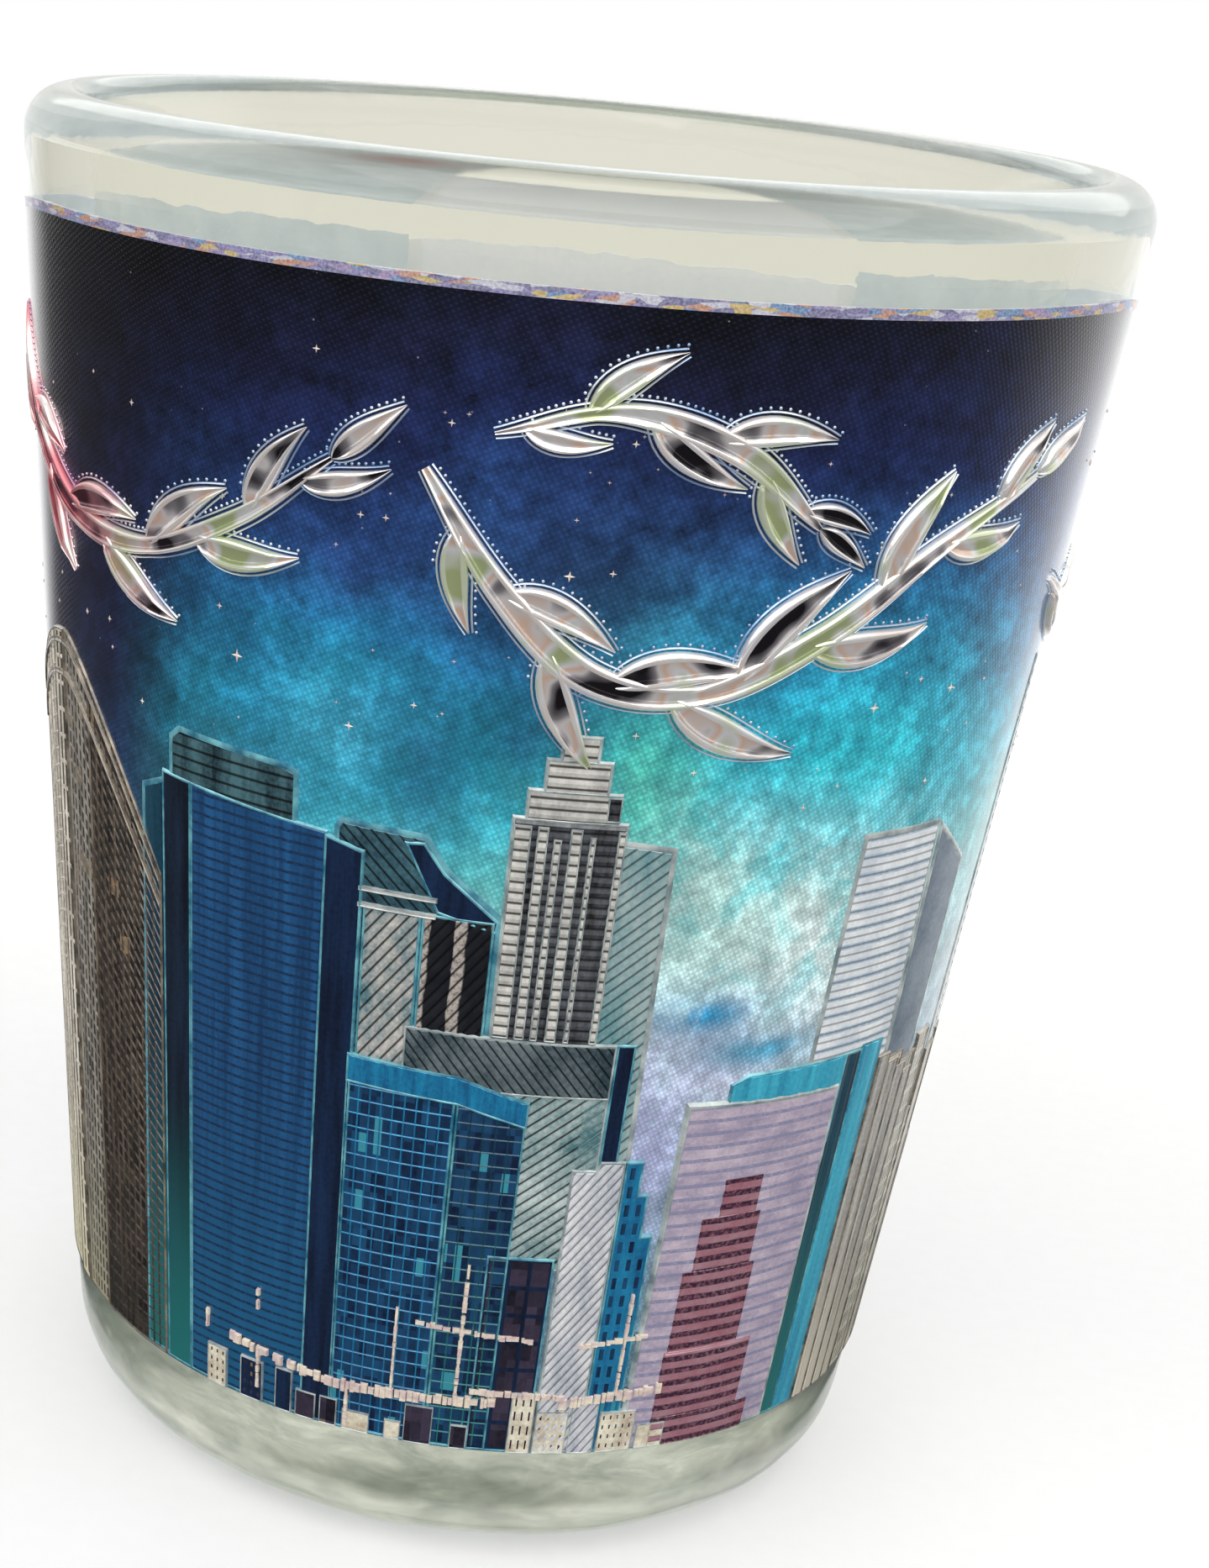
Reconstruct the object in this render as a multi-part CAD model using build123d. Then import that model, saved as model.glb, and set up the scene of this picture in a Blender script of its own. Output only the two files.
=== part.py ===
"""Souvenir shot glass: a thick pressed-glass tumbler with an embossed foil label.

Frame: millimetres, +Z up. The origin is the centre of the base, in the plane that
the glass stands on, so the whole object is above Z = 0. The middle of the picture
faces -Y, and azimuths are measured from there, positive towards +X.
"""

import os
from math import atan, cos, degrees, radians, sin

from build123d import *

# ---------------------------------------------------------------- driving dimensions

# Tumbler, outside
HEIGHT = 60.0
RIM_RADIUS = 24.4        # outer cone, at the height of the rim
BASE_RADIUS = 18.5       # outer cone, carried down to the plane of the base
BASE_EDGE_RADIUS = 3.7   # rounding between the wall and the base
LIP_OUTER_RADIUS = 1.7   # rounding of the lip towards the outside
LIP_INNER_RADIUS = 0.7   # rounding of the lip towards the drink
STANDING_RING_RADIUS = 13.2   # inner edge of the flat ring that the glass stands on
PUNT_DEPTH = 1.0         # hollow in the middle of the underside

# Tumbler, inside
RIM_WALL = 2.6           # wall thickness at the rim
FLOOR_WALL = 3.5         # wall thickness at the height of the floor
FLOOR_HEIGHT = 12.0      # solid glass under the drink
FLOOR_CORNER_RADIUS = 5.0
FLOOR_DISH = 0.5         # the floor is this much lower in its middle

# Picture label: three bonded layers, from the glass outwards
LABEL_BOTTOM = 6.0
LABEL_TOP = 55.9
LABEL_START = -157.0     # azimuth of the left end, degrees
LABEL_END = 139.0        # azimuth of the right end, degrees
ADHESIVE_THICKNESS = 0.03
FOIL_THICKNESS = 0.06
FILM_THICKNESS = 0.04
LAYER_GAP = 0.002        # clearance that keeps the bonded layers separate solids
REAR_SLOPE = 0.118       # the top edge falls this much per millimetre towards the back
REAR_SLOPE_START_Y = -9.6

# Plain paper sticker on the bare glass between the label's two ends
STICKER_WIDTH = 27.0     # wide enough to lap over both ends of the label
STICKER_TOP = 51.9
STICKER_BOTTOM = 34.5
STICKER_THICKNESS = 0.10
STICKER_CORNER_RADIUS = 1.5

# ---------------------------------------------------------------- derived values

TAPER = (RIM_RADIUS - BASE_RADIUS) / HEIGHT
HALF_ANGLE = atan(TAPER)
INNER_RIM_RADIUS = RIM_RADIUS - RIM_WALL
INNER_FLOOR_RADIUS = BASE_RADIUS + TAPER * FLOOR_HEIGHT - FLOOR_WALL
STICKER_AZIMUTH = (LABEL_END + LABEL_START + 360.0) / 2.0
FRONT_ANGLE = -90.0      # the direction of -Y, as an ordinary polar angle


def cone_radius(z, offset=0.0):
    """Radius of the outer cone at height z, moved outwards by offset along its normal."""
    return BASE_RADIUS + TAPER * z + offset / cos(HALF_ANGLE)


def cap_radius(half_width, height):
    """Radius of the sphere whose shallow cap has this half width and height."""
    return (half_width**2 + height**2) / (2 * height)


def revolve_profile(face, start_azimuth, sweep):
    """Turn a face in the XZ plane about Z, from one azimuth through a sweep."""
    solid = revolve(face, axis=Axis.Z, revolution_arc=sweep)
    return Rot(0, 0, FRONT_ANGLE + start_azimuth) * solid


# ---------------------------------------------------------------- glass tumbler

def glass_tumbler():
    """Pressed-glass body: tapered wall, heavy bottom, rounded lip and hollow underside."""
    wall_foot = (BASE_RADIUS, 0)
    wall_top = (RIM_RADIUS, HEIGHT)
    inner_top = (INNER_RIM_RADIUS, HEIGHT)
    inner_foot = (INNER_FLOOR_RADIUS, FLOOR_HEIGHT)
    floor_middle = (0, FLOOR_HEIGHT - FLOOR_DISH)
    punt_middle = (0, PUNT_DEPTH)
    ring_inner = (STANDING_RING_RADIUS, 0)
    floor_sphere = cap_radius(INNER_FLOOR_RADIUS, FLOOR_DISH)
    punt_sphere = cap_radius(STANDING_RING_RADIUS, PUNT_DEPTH)

    with BuildSketch(Plane.XZ) as section:
        with BuildLine():
            Line(ring_inner, wall_foot)
            Line(wall_foot, wall_top)
            Line(wall_top, inner_top)
            Line(inner_top, inner_foot)
            RadiusArc(inner_foot, floor_middle, floor_sphere)
            Line(floor_middle, punt_middle)
            RadiusArc(punt_middle, ring_inner, punt_sphere)
        make_face()
        corners = section.vertices()
        fillet(corners.sort_by_distance(wall_foot)[0], BASE_EDGE_RADIUS)
        fillet(section.vertices().sort_by_distance(wall_top)[0], LIP_OUTER_RADIUS)
        fillet(section.vertices().sort_by_distance(inner_top)[0], LIP_INNER_RADIUS)
        fillet(section.vertices().sort_by_distance(inner_foot)[0], FLOOR_CORNER_RADIUS)
    return revolve_profile(section.sketch, 0, 360)


# ---------------------------------------------------------------- picture label

def shell_on_cone(inner_offset, thickness, bottom, top, start_azimuth, sweep):
    """A thin shell wrapped on the outer cone, between two heights and two azimuths."""
    outer_offset = inner_offset + thickness
    with BuildSketch(Plane.XZ) as section:
        with BuildLine():
            Polyline(
                (cone_radius(bottom, inner_offset), bottom),
                (cone_radius(bottom, outer_offset), bottom),
                (cone_radius(top, outer_offset), top),
                (cone_radius(top, inner_offset), top),
                close=True,
            )
        make_face()
    return revolve_profile(section.sketch, start_azimuth, sweep)


def rear_trim():
    """Everything above the plane that slants down towards the back of the label."""
    size = 4 * RIM_RADIUS
    slant = degrees(atan(REAR_SLOPE))
    block = Pos(0, size / 2, size / 2) * Box(2 * size, size, size)
    return Pos(0, REAR_SLOPE_START_Y, LABEL_TOP) * Rot(-slant, 0, 0) * block


def label_layer(inner_offset, thickness):
    """One layer of the picture label, with the slanting top edge at the rear."""
    sweep = LABEL_END - LABEL_START
    layer = shell_on_cone(
        inner_offset, thickness, LABEL_BOTTOM, LABEL_TOP, LABEL_START, sweep
    )
    return layer - rear_trim()


# ---------------------------------------------------------------- plain sticker

def back_sticker(offset):
    """Rounded paper sticker that covers the gap and laps over both ends of the label."""
    middle_z = (STICKER_TOP + STICKER_BOTTOM) / 2
    height = STICKER_TOP - STICKER_BOTTOM
    middle_radius = cone_radius(middle_z)
    sweep = degrees(STICKER_WIDTH / middle_radius)
    shell = shell_on_cone(
        offset,
        STICKER_THICKNESS,
        STICKER_BOTTOM - 1,
        STICKER_TOP + 1,
        STICKER_AZIMUTH - sweep,
        2 * sweep,
    )
    outward_angle = radians(FRONT_ANGLE + STICKER_AZIMUTH)
    outward = (cos(outward_angle), sin(outward_angle), 0)
    sideways = (-sin(outward_angle), cos(outward_angle), 0)
    facing = Plane(origin=(0, 0, middle_z), x_dir=sideways, z_dir=outward)
    chord = 2 * middle_radius * sin(radians(sweep / 2))
    outline = RectangleRounded(chord, height, STICKER_CORNER_RADIUS)
    cutter = extrude(facing * outline, amount=2 * RIM_RADIUS)
    return shell & cutter


# ---------------------------------------------------------------- assembly

adhesive_offset = LAYER_GAP
foil_offset = adhesive_offset + ADHESIVE_THICKNESS + LAYER_GAP
film_offset = foil_offset + FOIL_THICKNESS + LAYER_GAP
sticker_offset = film_offset + FILM_THICKNESS + LAYER_GAP

nodes = {
    "glass_tumbler": glass_tumbler(),
    "label_adhesive": label_layer(adhesive_offset, ADHESIVE_THICKNESS),
    "label_foil": label_layer(foil_offset, FOIL_THICKNESS),
    "label_print_film": label_layer(film_offset, FILM_THICKNESS),
    "back_sticker": back_sticker(sticker_offset),
}

os.makedirs("parts", exist_ok=True)
for name, shape in nodes.items():
    export_step(shape, f"parts/{name}.step")
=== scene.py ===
"""Looks of the souvenir shot glass: lathed glass, embossed picture label and plain sticker.

The artwork is modelled flat and then wrapped. A flat point is (x, y, h) in millimetres:
x is azimuth times DEGREE_MM, y is height above the table, and h stands out from the glass.
Azimuth 0 is the middle of the picture, which faces -Y, and grows towards +X.
"""

import math
import random

import bmesh
import bpy
from mathutils import Matrix, Vector, noise


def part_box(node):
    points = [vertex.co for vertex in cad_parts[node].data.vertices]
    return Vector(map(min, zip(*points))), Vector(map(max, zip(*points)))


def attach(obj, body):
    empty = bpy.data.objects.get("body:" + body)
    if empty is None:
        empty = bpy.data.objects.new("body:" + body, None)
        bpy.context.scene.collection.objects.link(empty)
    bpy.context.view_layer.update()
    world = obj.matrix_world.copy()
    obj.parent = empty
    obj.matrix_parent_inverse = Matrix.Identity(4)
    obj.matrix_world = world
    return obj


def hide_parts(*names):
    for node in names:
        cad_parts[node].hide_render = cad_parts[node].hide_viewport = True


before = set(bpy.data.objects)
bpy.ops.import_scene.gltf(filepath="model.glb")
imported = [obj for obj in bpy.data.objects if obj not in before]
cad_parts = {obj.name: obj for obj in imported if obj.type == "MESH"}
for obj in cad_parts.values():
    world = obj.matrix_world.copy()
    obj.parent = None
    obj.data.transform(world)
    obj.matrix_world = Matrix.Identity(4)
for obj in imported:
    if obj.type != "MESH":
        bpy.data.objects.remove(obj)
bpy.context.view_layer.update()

# ---------------------------------------------------------------- sizes, in millimetres

MM = 0.001
DEGREE_MM = 0.4            # flat width of one degree round the glass
SLICE = 0.5                # widest strip that is still bent round the glass without facets
WELD = 1e-5                # corners closer than this count as one

# The glass, as its CAD section
RIM_RADIUS = 24.4
BASE_RADIUS = 18.5
RIM_WALL = 2.6
FLOOR_WALL = 3.5
FLOOR_HEIGHT = 12.0
FLOOR_DISH = 0.5
FLOOR_CORNER = 5.0
BASE_EDGE = 3.7
LIP_OUTER = 1.7
LIP_INNER = 0.7
RING_INNER = 13.2
RING_OUTER = 15.1
PUNT_DEPTH = 1.0

# The label: its layers, measured outwards from the glass, and its edges
BACK_INNER = -0.02         # just inside the glass: the adhesive wets it, with no air between
BACK_OUTER = 0.012
SHEET_OUTER = 0.10
STRIP_OUTER = 0.103        # the speckled edge strip is a hair proud of the picture
ART_FOOT = 0.07            # raised artwork starts inside the sheet, so that it has no gap
GROOVE = 0.02              # how far a building's panel sinks below the line round it
THIN_RIM = (0.07, 0.05, 0.03)        # widths of that line's rise, crest and drop
WIDE_RIM = (0.12, 0.08, 0.05)
RIDGE_INSET = 0.015        # flat edge that is left round a ridged panel
ON_CREST = 0.12            # share of half a pitch within which a corner is on a crest
SMALLEST_PANE = 2.5        # panes narrower than this many frame widths stay uncut
SHOWN = 0.02               # outward slope above which a face counts as facing out
REAR_SLOPE = 0.118         # fall of the label's top edge for each millimetre towards the rear
REAR_SLOPE_START_Y = -9.6
REAR_SLOPE_EASE = 3.0
EDGE_STRIP = 0.42          # speckled sliver along the top edge of the picture

STICKER_THICKNESS = 0.10
STICKER_CORNER = 1.5
STICKER_CLIMB = 1.2        # width over which the sticker rises from the glass onto the label


def node_rings(node, height, pick):
    """Radius, in millimetres, of a CAD node's vertices at one of its flat edges."""
    radii = []
    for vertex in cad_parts[node].data.vertices:
        if abs(vertex.co.z - height) < WELD:
            radii.append(math.hypot(vertex.co.x, vertex.co.y) / MM)
    return pick(radii)


def azimuth_of(point):
    """Degrees round the glass from the middle of the picture, positive towards +X."""
    return math.degrees(math.atan2(point.x, -point.y))


label_low, label_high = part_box("label_adhesive")
LABEL_BOTTOM = label_low.z / MM
LABEL_TOP = label_high.z / MM
bottom_radius = node_rings("label_adhesive", label_low.z, min)
top_radius = node_rings("label_adhesive", label_high.z, min)
label_azimuths = [azimuth_of(v.co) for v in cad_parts["label_adhesive"].data.vertices]
LABEL_START = min(label_azimuths)
LABEL_END = max(label_azimuths)
TAPER = (top_radius - bottom_radius) / (LABEL_TOP - LABEL_BOTTOM)
HALF_ANGLE = math.atan(TAPER)
GLASS_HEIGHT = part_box("glass_tumbler")[1].z / MM
sticker_low, sticker_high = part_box("back_sticker")


def cone_radius(z):
    """Radius of the outside of the glass at height z."""
    return bottom_radius + TAPER * (z - LABEL_BOTTOM)


def wrap(flat):
    """Bends one flat artwork point round the glass, in metres."""
    azimuth = math.radians(flat.x / DEGREE_MM)
    radius = cone_radius(flat.y) + flat.z * math.cos(HALF_ANGLE)
    height = flat.y - flat.z * math.sin(HALF_ANGLE)
    x = radius * math.sin(azimuth)
    y = -radius * math.cos(azimuth)
    return Vector((x, y, height)) * MM


def label_top(azimuth):
    """Height of the label's top edge, which slopes down at the rear."""
    depth = -cone_radius(LABEL_TOP) * math.cos(math.radians(azimuth)) - REAR_SLOPE_START_Y
    eased = (depth + math.hypot(depth, REAR_SLOPE_EASE)) / 2
    return LABEL_TOP - REAR_SLOPE * eased


# ---------------------------------------------------------------- node graphs

class Graph:
    """A node tree with short calls for the nodes that the looks share."""

    def __init__(self, tree):
        self.tree = tree
        tree.nodes.clear()

    def node(self, kind, inputs=None, **settings):
        """Adds a node. Inputs are keyed by socket name or number."""
        made = self.tree.nodes.new("ShaderNode" + kind)
        for key, value in settings.items():
            setattr(made, key, value)
        for key, value in (inputs or {}).items():
            self.feed(made.inputs[key], value)
        return made

    def feed(self, socket, value):
        if isinstance(value, bpy.types.NodeSocket):
            self.tree.links.new(value, socket)
        elif isinstance(value, tuple) and len(value) == 3 and socket.type == "RGBA":
            socket.default_value = (*value, 1.0)
        else:
            socket.default_value = value

    def math(self, operation, *values):
        return self.node("Math", dict(enumerate(values)), operation=operation).outputs[0]

    def span(self, value, low, high, at_low, at_high, kind="SMOOTHSTEP"):
        """Runs from at_low to at_high while the value goes from low to high."""
        limits = {"From Min": low, "From Max": high, "To Min": at_low, "To Max": at_high}
        made = self.node("MapRange", {"Value": value, **limits}, interpolation_type=kind)
        return made.outputs[0]

    def mix(self, factor, a, b, blend="MIX"):
        inputs = {0: factor, 6: a, 7: b}
        made = self.node("Mix", inputs, data_type="RGBA", blend_type=blend, clamp_factor=True)
        return made.outputs[2]

    def ramp(self, factor, stops, interpolation="LINEAR"):
        """Colour ramp from (position, colour) stops."""
        made = self.node("ValToRGB", {0: factor})
        ramp = made.color_ramp
        ramp.interpolation = interpolation
        for number, (position, colour) in enumerate(stops):
            if number < 2:
                element = ramp.elements[number]
                element.position = position
            else:
                element = ramp.elements.new(position)
            element.color = (*colour, 1.0)
        return made.outputs[0]

    def grey_ramp(self, factor, stops):
        """Ramp of plain values from (position, value) stops."""
        return self.ramp(factor, [(position, (value,) * 3) for position, value in stops])

    def noise(self, vector, scale, detail=2.0, roughness=0.5, distortion=0.0):
        inputs = {"Vector": vector, "Scale": scale, "Detail": detail}
        inputs.update({"Roughness": roughness, "Distortion": distortion})
        return self.node("TexNoise", inputs).outputs[0]

    def stretch(self, vector, scale):
        """The vector, scaled by a different amount along each axis."""
        return self.node("Mapping", {"Vector": vector, "Scale": scale}).outputs[0]

    def label_mm(self):
        """Flat artwork position: a vector, and its x and y, in millimetres."""
        vector = self.node("UVMap", uv_map="FlatMM").outputs[0]
        parts = self.node("SeparateXYZ", {0: vector})
        return vector, parts.outputs[0], parts.outputs[1]

    def blob(self, x, y, azimuth, z, half_width, half_height):
        """Soft round patch of artwork: 1 in its middle, fading to 0."""
        dx = self.math("DIVIDE", self.math("SUBTRACT", x, azimuth * DEGREE_MM), half_width)
        dy = self.math("DIVIDE", self.math("SUBTRACT", y, z), half_height)
        squared = self.math("MULTIPLY_ADD", dx, dx, self.math("MULTIPLY", dy, dy))
        return self.math("POWER", 2.718, self.math("MULTIPLY", squared, -1.0))

    def wave(self, coordinate, pitch):
        """Sine wave along a coordinate, from 0 to 1."""
        turned = self.math("SINE", self.math("MULTIPLY", coordinate, 2 * math.pi / pitch))
        return self.math("MULTIPLY_ADD", turned, 0.5, 0.5)

    def bump(self, height, strength, distance):
        inputs = {"Height": height, "Strength": strength, "Distance": distance}
        return self.node("Bump", inputs).outputs[0]

    def surface(self, volume=None, **inputs):
        """Principled surface into the output. Input names use _ for a space."""
        names = {key.replace("_", " "): value for key, value in inputs.items()}
        shader = self.node("BsdfPrincipled", names)
        output = self.node("OutputMaterial", {"Surface": shader.outputs[0]})
        if volume is not None:
            self.feed(output.inputs["Volume"], volume)


def new_material(name):
    """An empty material and the graph that fills it."""
    material = bpy.data.materials.new(name)
    material.use_nodes = True
    return material, Graph(material.node_tree)


# ---------------------------------------------------------------- materials

def glass_material():
    """Clear pressed glass with a faint warm green cast, cloudy in its base and satin on its lip."""
    material, g = new_material("pressed_glass")
    place = g.node("TexCoord").outputs["Object"]
    ripple = g.noise(place, 160.0, 3.0, 0.55)
    smear = g.noise(place, 900.0, 2.0, 0.5)
    height = g.math("MULTIPLY_ADD", smear, 0.08, ripple)
    cloud = g.noise(g.stretch(place, (1.0, 1.0, 2.4)), 240.0, 7.0, 0.68, 0.6)
    base_tone = g.ramp(cloud, [
        (0.36, (0.22, 0.25, 0.22)),
        (0.48, (0.40, 0.43, 0.39)),
        (0.58, (0.62, 0.64, 0.57)),
        (0.68, (0.95, 0.96, 0.88)),
    ])
    z = g.math("DIVIDE", g.node("SeparateXYZ", {0: place}).outputs[2], MM)
    in_base = g.span(z, LABEL_BOTTOM, LABEL_BOTTOM + 0.3, 1.0, 0.0, "LINEAR")
    in_foot = g.span(z, 0.3, 3.0, 0.35, 0.0, "LINEAR")
    base_tone = g.mix(in_foot, base_tone, (0.86, 0.86, 0.78))
    on_lip = g.span(z, 58.5, 59.6, 0.0, 0.12, "LINEAR")
    cloudy = g.math("MULTIPLY", in_base, g.grey_ramp(cloud, [(0.35, 0.06), (0.65, 0.20)]))
    haze = g.math("ADD", cloudy, on_lip)
    absorption = g.node("VolumeAbsorption", {"Color": (0.80, 0.86, 0.80), "Density": 16.0})
    g.surface(volume=absorption.outputs[0],
              Base_Color=g.mix(in_base, (0.972, 0.970, 0.945), base_tone),
              Roughness=g.math("MULTIPLY_ADD", smear, 0.03, haze), IOR=1.52,
              Transmission_Weight=1.0, Normal=g.bump(height, 0.12, 0.0003))
    return material


def label_back_material():
    """Silvery grey back of the foil, seen through clear adhesive, with one pink-red patch that is
    painted reflection: through the glass it shows as a red streak in the lip.
    """
    material, g = new_material("label_back_adhesive")
    vector, x, y = g.label_mm()
    cloud = g.noise(vector, 0.35, 4.0, 0.6)
    bubbles = g.noise(vector, 6.0, 2.0, 0.5)
    tone = g.ramp(cloud, [(0.3, (0.66, 0.73, 0.76)), (0.7, (0.80, 0.86, 0.88))])
    speckled = g.mix(g.math("GREATER_THAN", bubbles, 0.68), tone, (0.86, 0.90, 0.92))
    # This patch is painted red reflection, seen through the glass as a red streak in the lip.
    tinted_patch = g.blob(x, y, -132, 24, 6.5, 7.0)
    g.surface(Base_Color=g.mix(g.math("MULTIPLY", tinted_patch, 0.8), speckled, (0.72, 0.24, 0.26)),
              Metallic=0.15, Roughness=0.42, Normal=g.bump(cloud, 0.3, 0.0002))
    return material


def weave_height(g, x, y, pitch):
    """Fine embossing of the foil, crossed at a slant."""
    along = g.math("MULTIPLY_ADD", y, 0.55, x)
    across = g.math("MULTIPLY_ADD", x, -0.55, y)
    return g.math("MULTIPLY", g.wave(along, pitch), g.wave(across, pitch))


def sky_colour(g, vector, x, y):
    """Night sky: near-black navy at the top, turquoise glow, pale cloud low on the right."""
    drift = g.noise(vector, 0.11, 5.0, 0.62, 0.4)
    mottle = g.noise(vector, 0.45, 8.0, 0.7, 0.2)
    lifted = g.math("MULTIPLY_ADD", g.math("SUBTRACT", drift, 0.5), 10.0, y)
    rise = g.math("DIVIDE", lifted, GLASS_HEIGHT)
    right = g.ramp(rise, [
        (0.10, (0.10, 0.26, 0.36)),
        (0.36, (0.38, 0.50, 0.66)),
        (0.45, (0.42, 0.66, 0.74)),
        (0.54, (0.13, 0.60, 0.62)),
        (0.62, (0.016, 0.46, 0.62)),
        (0.69, (0.016, 0.20, 0.44)),
        (0.75, (0.018, 0.070, 0.24)),
        (0.83, (0.009, 0.020, 0.095)),
        (0.88, (0.007, 0.010, 0.042)),
        (0.93, (0.002, 0.003, 0.010)),
    ])
    left = g.ramp(rise, [
        (0.10, (0.02, 0.08, 0.14)),
        (0.55, (0.010, 0.038, 0.11)),
        (0.633, (0.007, 0.014, 0.050)),
        (0.733, (0.006, 0.009, 0.042)),
        (0.83, (0.003, 0.004, 0.014)),
        (0.93, (0.001, 0.001, 0.004)),
    ])
    colour = g.mix(g.span(x, -20.0, -7.0, 0.0, 1.0), left, right)
    glows = [
        (-26, 37.0, 4.0, 4.0, (0.016, 0.22, 0.40), 0.8),
        (-18, 37.4, 2.6, 2.6, (0.06, 0.42, 0.60), 0.8),
        (-9, 37.0, 2.4, 3.4, (0.016, 0.16, 0.28), 0.9),
        (1, 39.0, 2.6, 2.6, (0.008, 0.10, 0.20), 0.9),
        (4, 44.8, 4.0, 3.0, (0.012, 0.034, 0.11), 0.9),
        (14, 37.5, 3.0, 4.5, (0.08, 0.52, 0.38), 0.9),
        (36, 42.0, 9.0, 3.6, (0.02, 0.26, 0.50), 0.8),
        (37, 37.0, 6.5, 4.4, (0.03, 0.66, 0.78), 1.0),
        (52, 38.0, 5.0, 5.0, (0.06, 0.46, 0.60), 0.5),
        (-84, 44.0, 9.0, 6.0, (0.03, 0.012, 0.05), 0.6),
        (112, 37.0, 8.0, 5.0, (0.05, 0.30, 0.45), 0.5),
        (-115, 38.0, 7.0, 5.0, (0.05, 0.30, 0.42), 0.5),
    ]
    for azimuth, z, wide, high, tint, share in glows:
        soft = g.blob(x, y, azimuth, z, wide, high)
        cloudy = g.math("MULTIPLY", soft, g.math("MULTIPLY", mottle, 2.0 * share))
        colour = g.mix(cloudy, colour, tint)
    clouds = g.noise(vector, 0.30, 7.0, 0.62, 0.6)
    puffs = g.grey_ramp(clouds, [(0.38, 0.25), (0.54, 1.0)])
    for azimuth, z, wide, high, tint in [
        (27, 31.0, 6.0, 3.0, (0.50, 0.84, 0.78)),
        (38, 29.0, 8.0, 5.0, (0.80, 0.94, 0.94)),
        (20, 32.0, 3.4, 3.4, (0.52, 0.80, 0.76)),
        (26, 25.0, 5.0, 2.6, (0.58, 0.62, 0.78)),
        (19, 21.0, 3.0, 4.2, (0.46, 0.50, 0.76)),
        (24, 27.2, 2.4, 0.9, (0.04, 0.32, 0.58)),
        (32, 25.4, 3.0, 0.8, (0.10, 0.42, 0.64)),
    ]:
        soft = g.blob(x, y, azimuth, z, wide, high)
        colour = g.mix(g.math("MULTIPLY", soft, puffs), colour, tint)
    speckle = g.noise(vector, 1.7, 6.0, 0.7)
    mixed = g.math("MULTIPLY_ADD", g.math("SUBTRACT", speckle, 0.5), 0.6, mottle)
    shade = g.grey_ramp(mixed, [(0.28, 0.30), (0.46, 0.92), (0.60, 1.0)])
    lighter = g.grey_ramp(mixed, [(0.48, 0.0), (0.75, 1.0)])
    bright = g.grey_ramp(rise, [(0.30, 0.55), (0.62, 0.62), (0.80, 1.0)])
    colour = g.mix(bright, colour, g.mix(1.0, colour, shade, "MULTIPLY"))
    return g.mix(lighter, colour, colour, "ADD")


def sky_material():
    """Printed sky over finely woven foil, with painted shade and highlight on the weave and a gloss
    film on top.
    """
    material, g = new_material("printed_sky_foil")
    vector, x, y = g.label_mm()
    colour = sky_colour(g, vector, x, y)
    weave = weave_height(g, x, y, 0.24)
    # Painted shade in the weave's valleys and painted highlight on its crests.
    weave_painted_shading = g.grey_ramp(weave, [(0.0, 0.82), (0.6, 1.12)])
    colour = g.mix(1.0, colour, weave_painted_shading, "MULTIPLY")
    sparkle = g.node("TexVoronoi", {"Vector": vector, "Scale": 0.9}).outputs["Distance"]
    dots = g.grey_ramp(sparkle, [(0.0, 1.0), (0.045, 0.0)])
    colour = g.mix(g.math("MULTIPLY", dots, 0.5), colour, (0.75, 0.78, 0.85))
    g.surface(Base_Color=colour, Metallic=0.25, Roughness=0.26, Coat_Weight=0.9,
              Coat_Roughness=0.12, Normal=g.bump(weave, 0.35, 0.00003))
    return material


def edge_strip_material():
    """Speckled strip: short dashes of violet, blue, yellow, orange and white."""
    material, g = new_material("top_edge_speckle")
    vector = g.label_mm()[0]
    stretched = g.stretch(vector, (1.3, 5.5, 1.0))
    cells = g.node("TexVoronoi", {"Vector": stretched, "Scale": 1.0}).outputs["Color"]
    pick = g.node("SeparateColor", {0: cells}).outputs[0]
    dashes = g.ramp(pick, [
        (0.0, (0.10, 0.09, 0.30)),
        (0.22, (0.20, 0.17, 0.45)),
        (0.40, (0.05, 0.22, 0.50)),
        (0.52, (0.60, 0.60, 0.72)),
        (0.66, (0.62, 0.42, 0.07)),
        (0.80, (0.55, 0.22, 0.12)),
        (0.90, (0.30, 0.20, 0.45)),
    ], "CONSTANT")
    grain = g.noise(vector, 9.0, 3.0)
    g.surface(Base_Color=g.mix(0.35, dashes, g.grey_ramp(grain, [(0.3, 0.1), (0.7, 0.9)])),
              Metallic=0.2, Roughness=0.4, Coat_Weight=0.6, Normal=g.bump(grain, 0.4, 0.00005))
    return material


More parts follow.
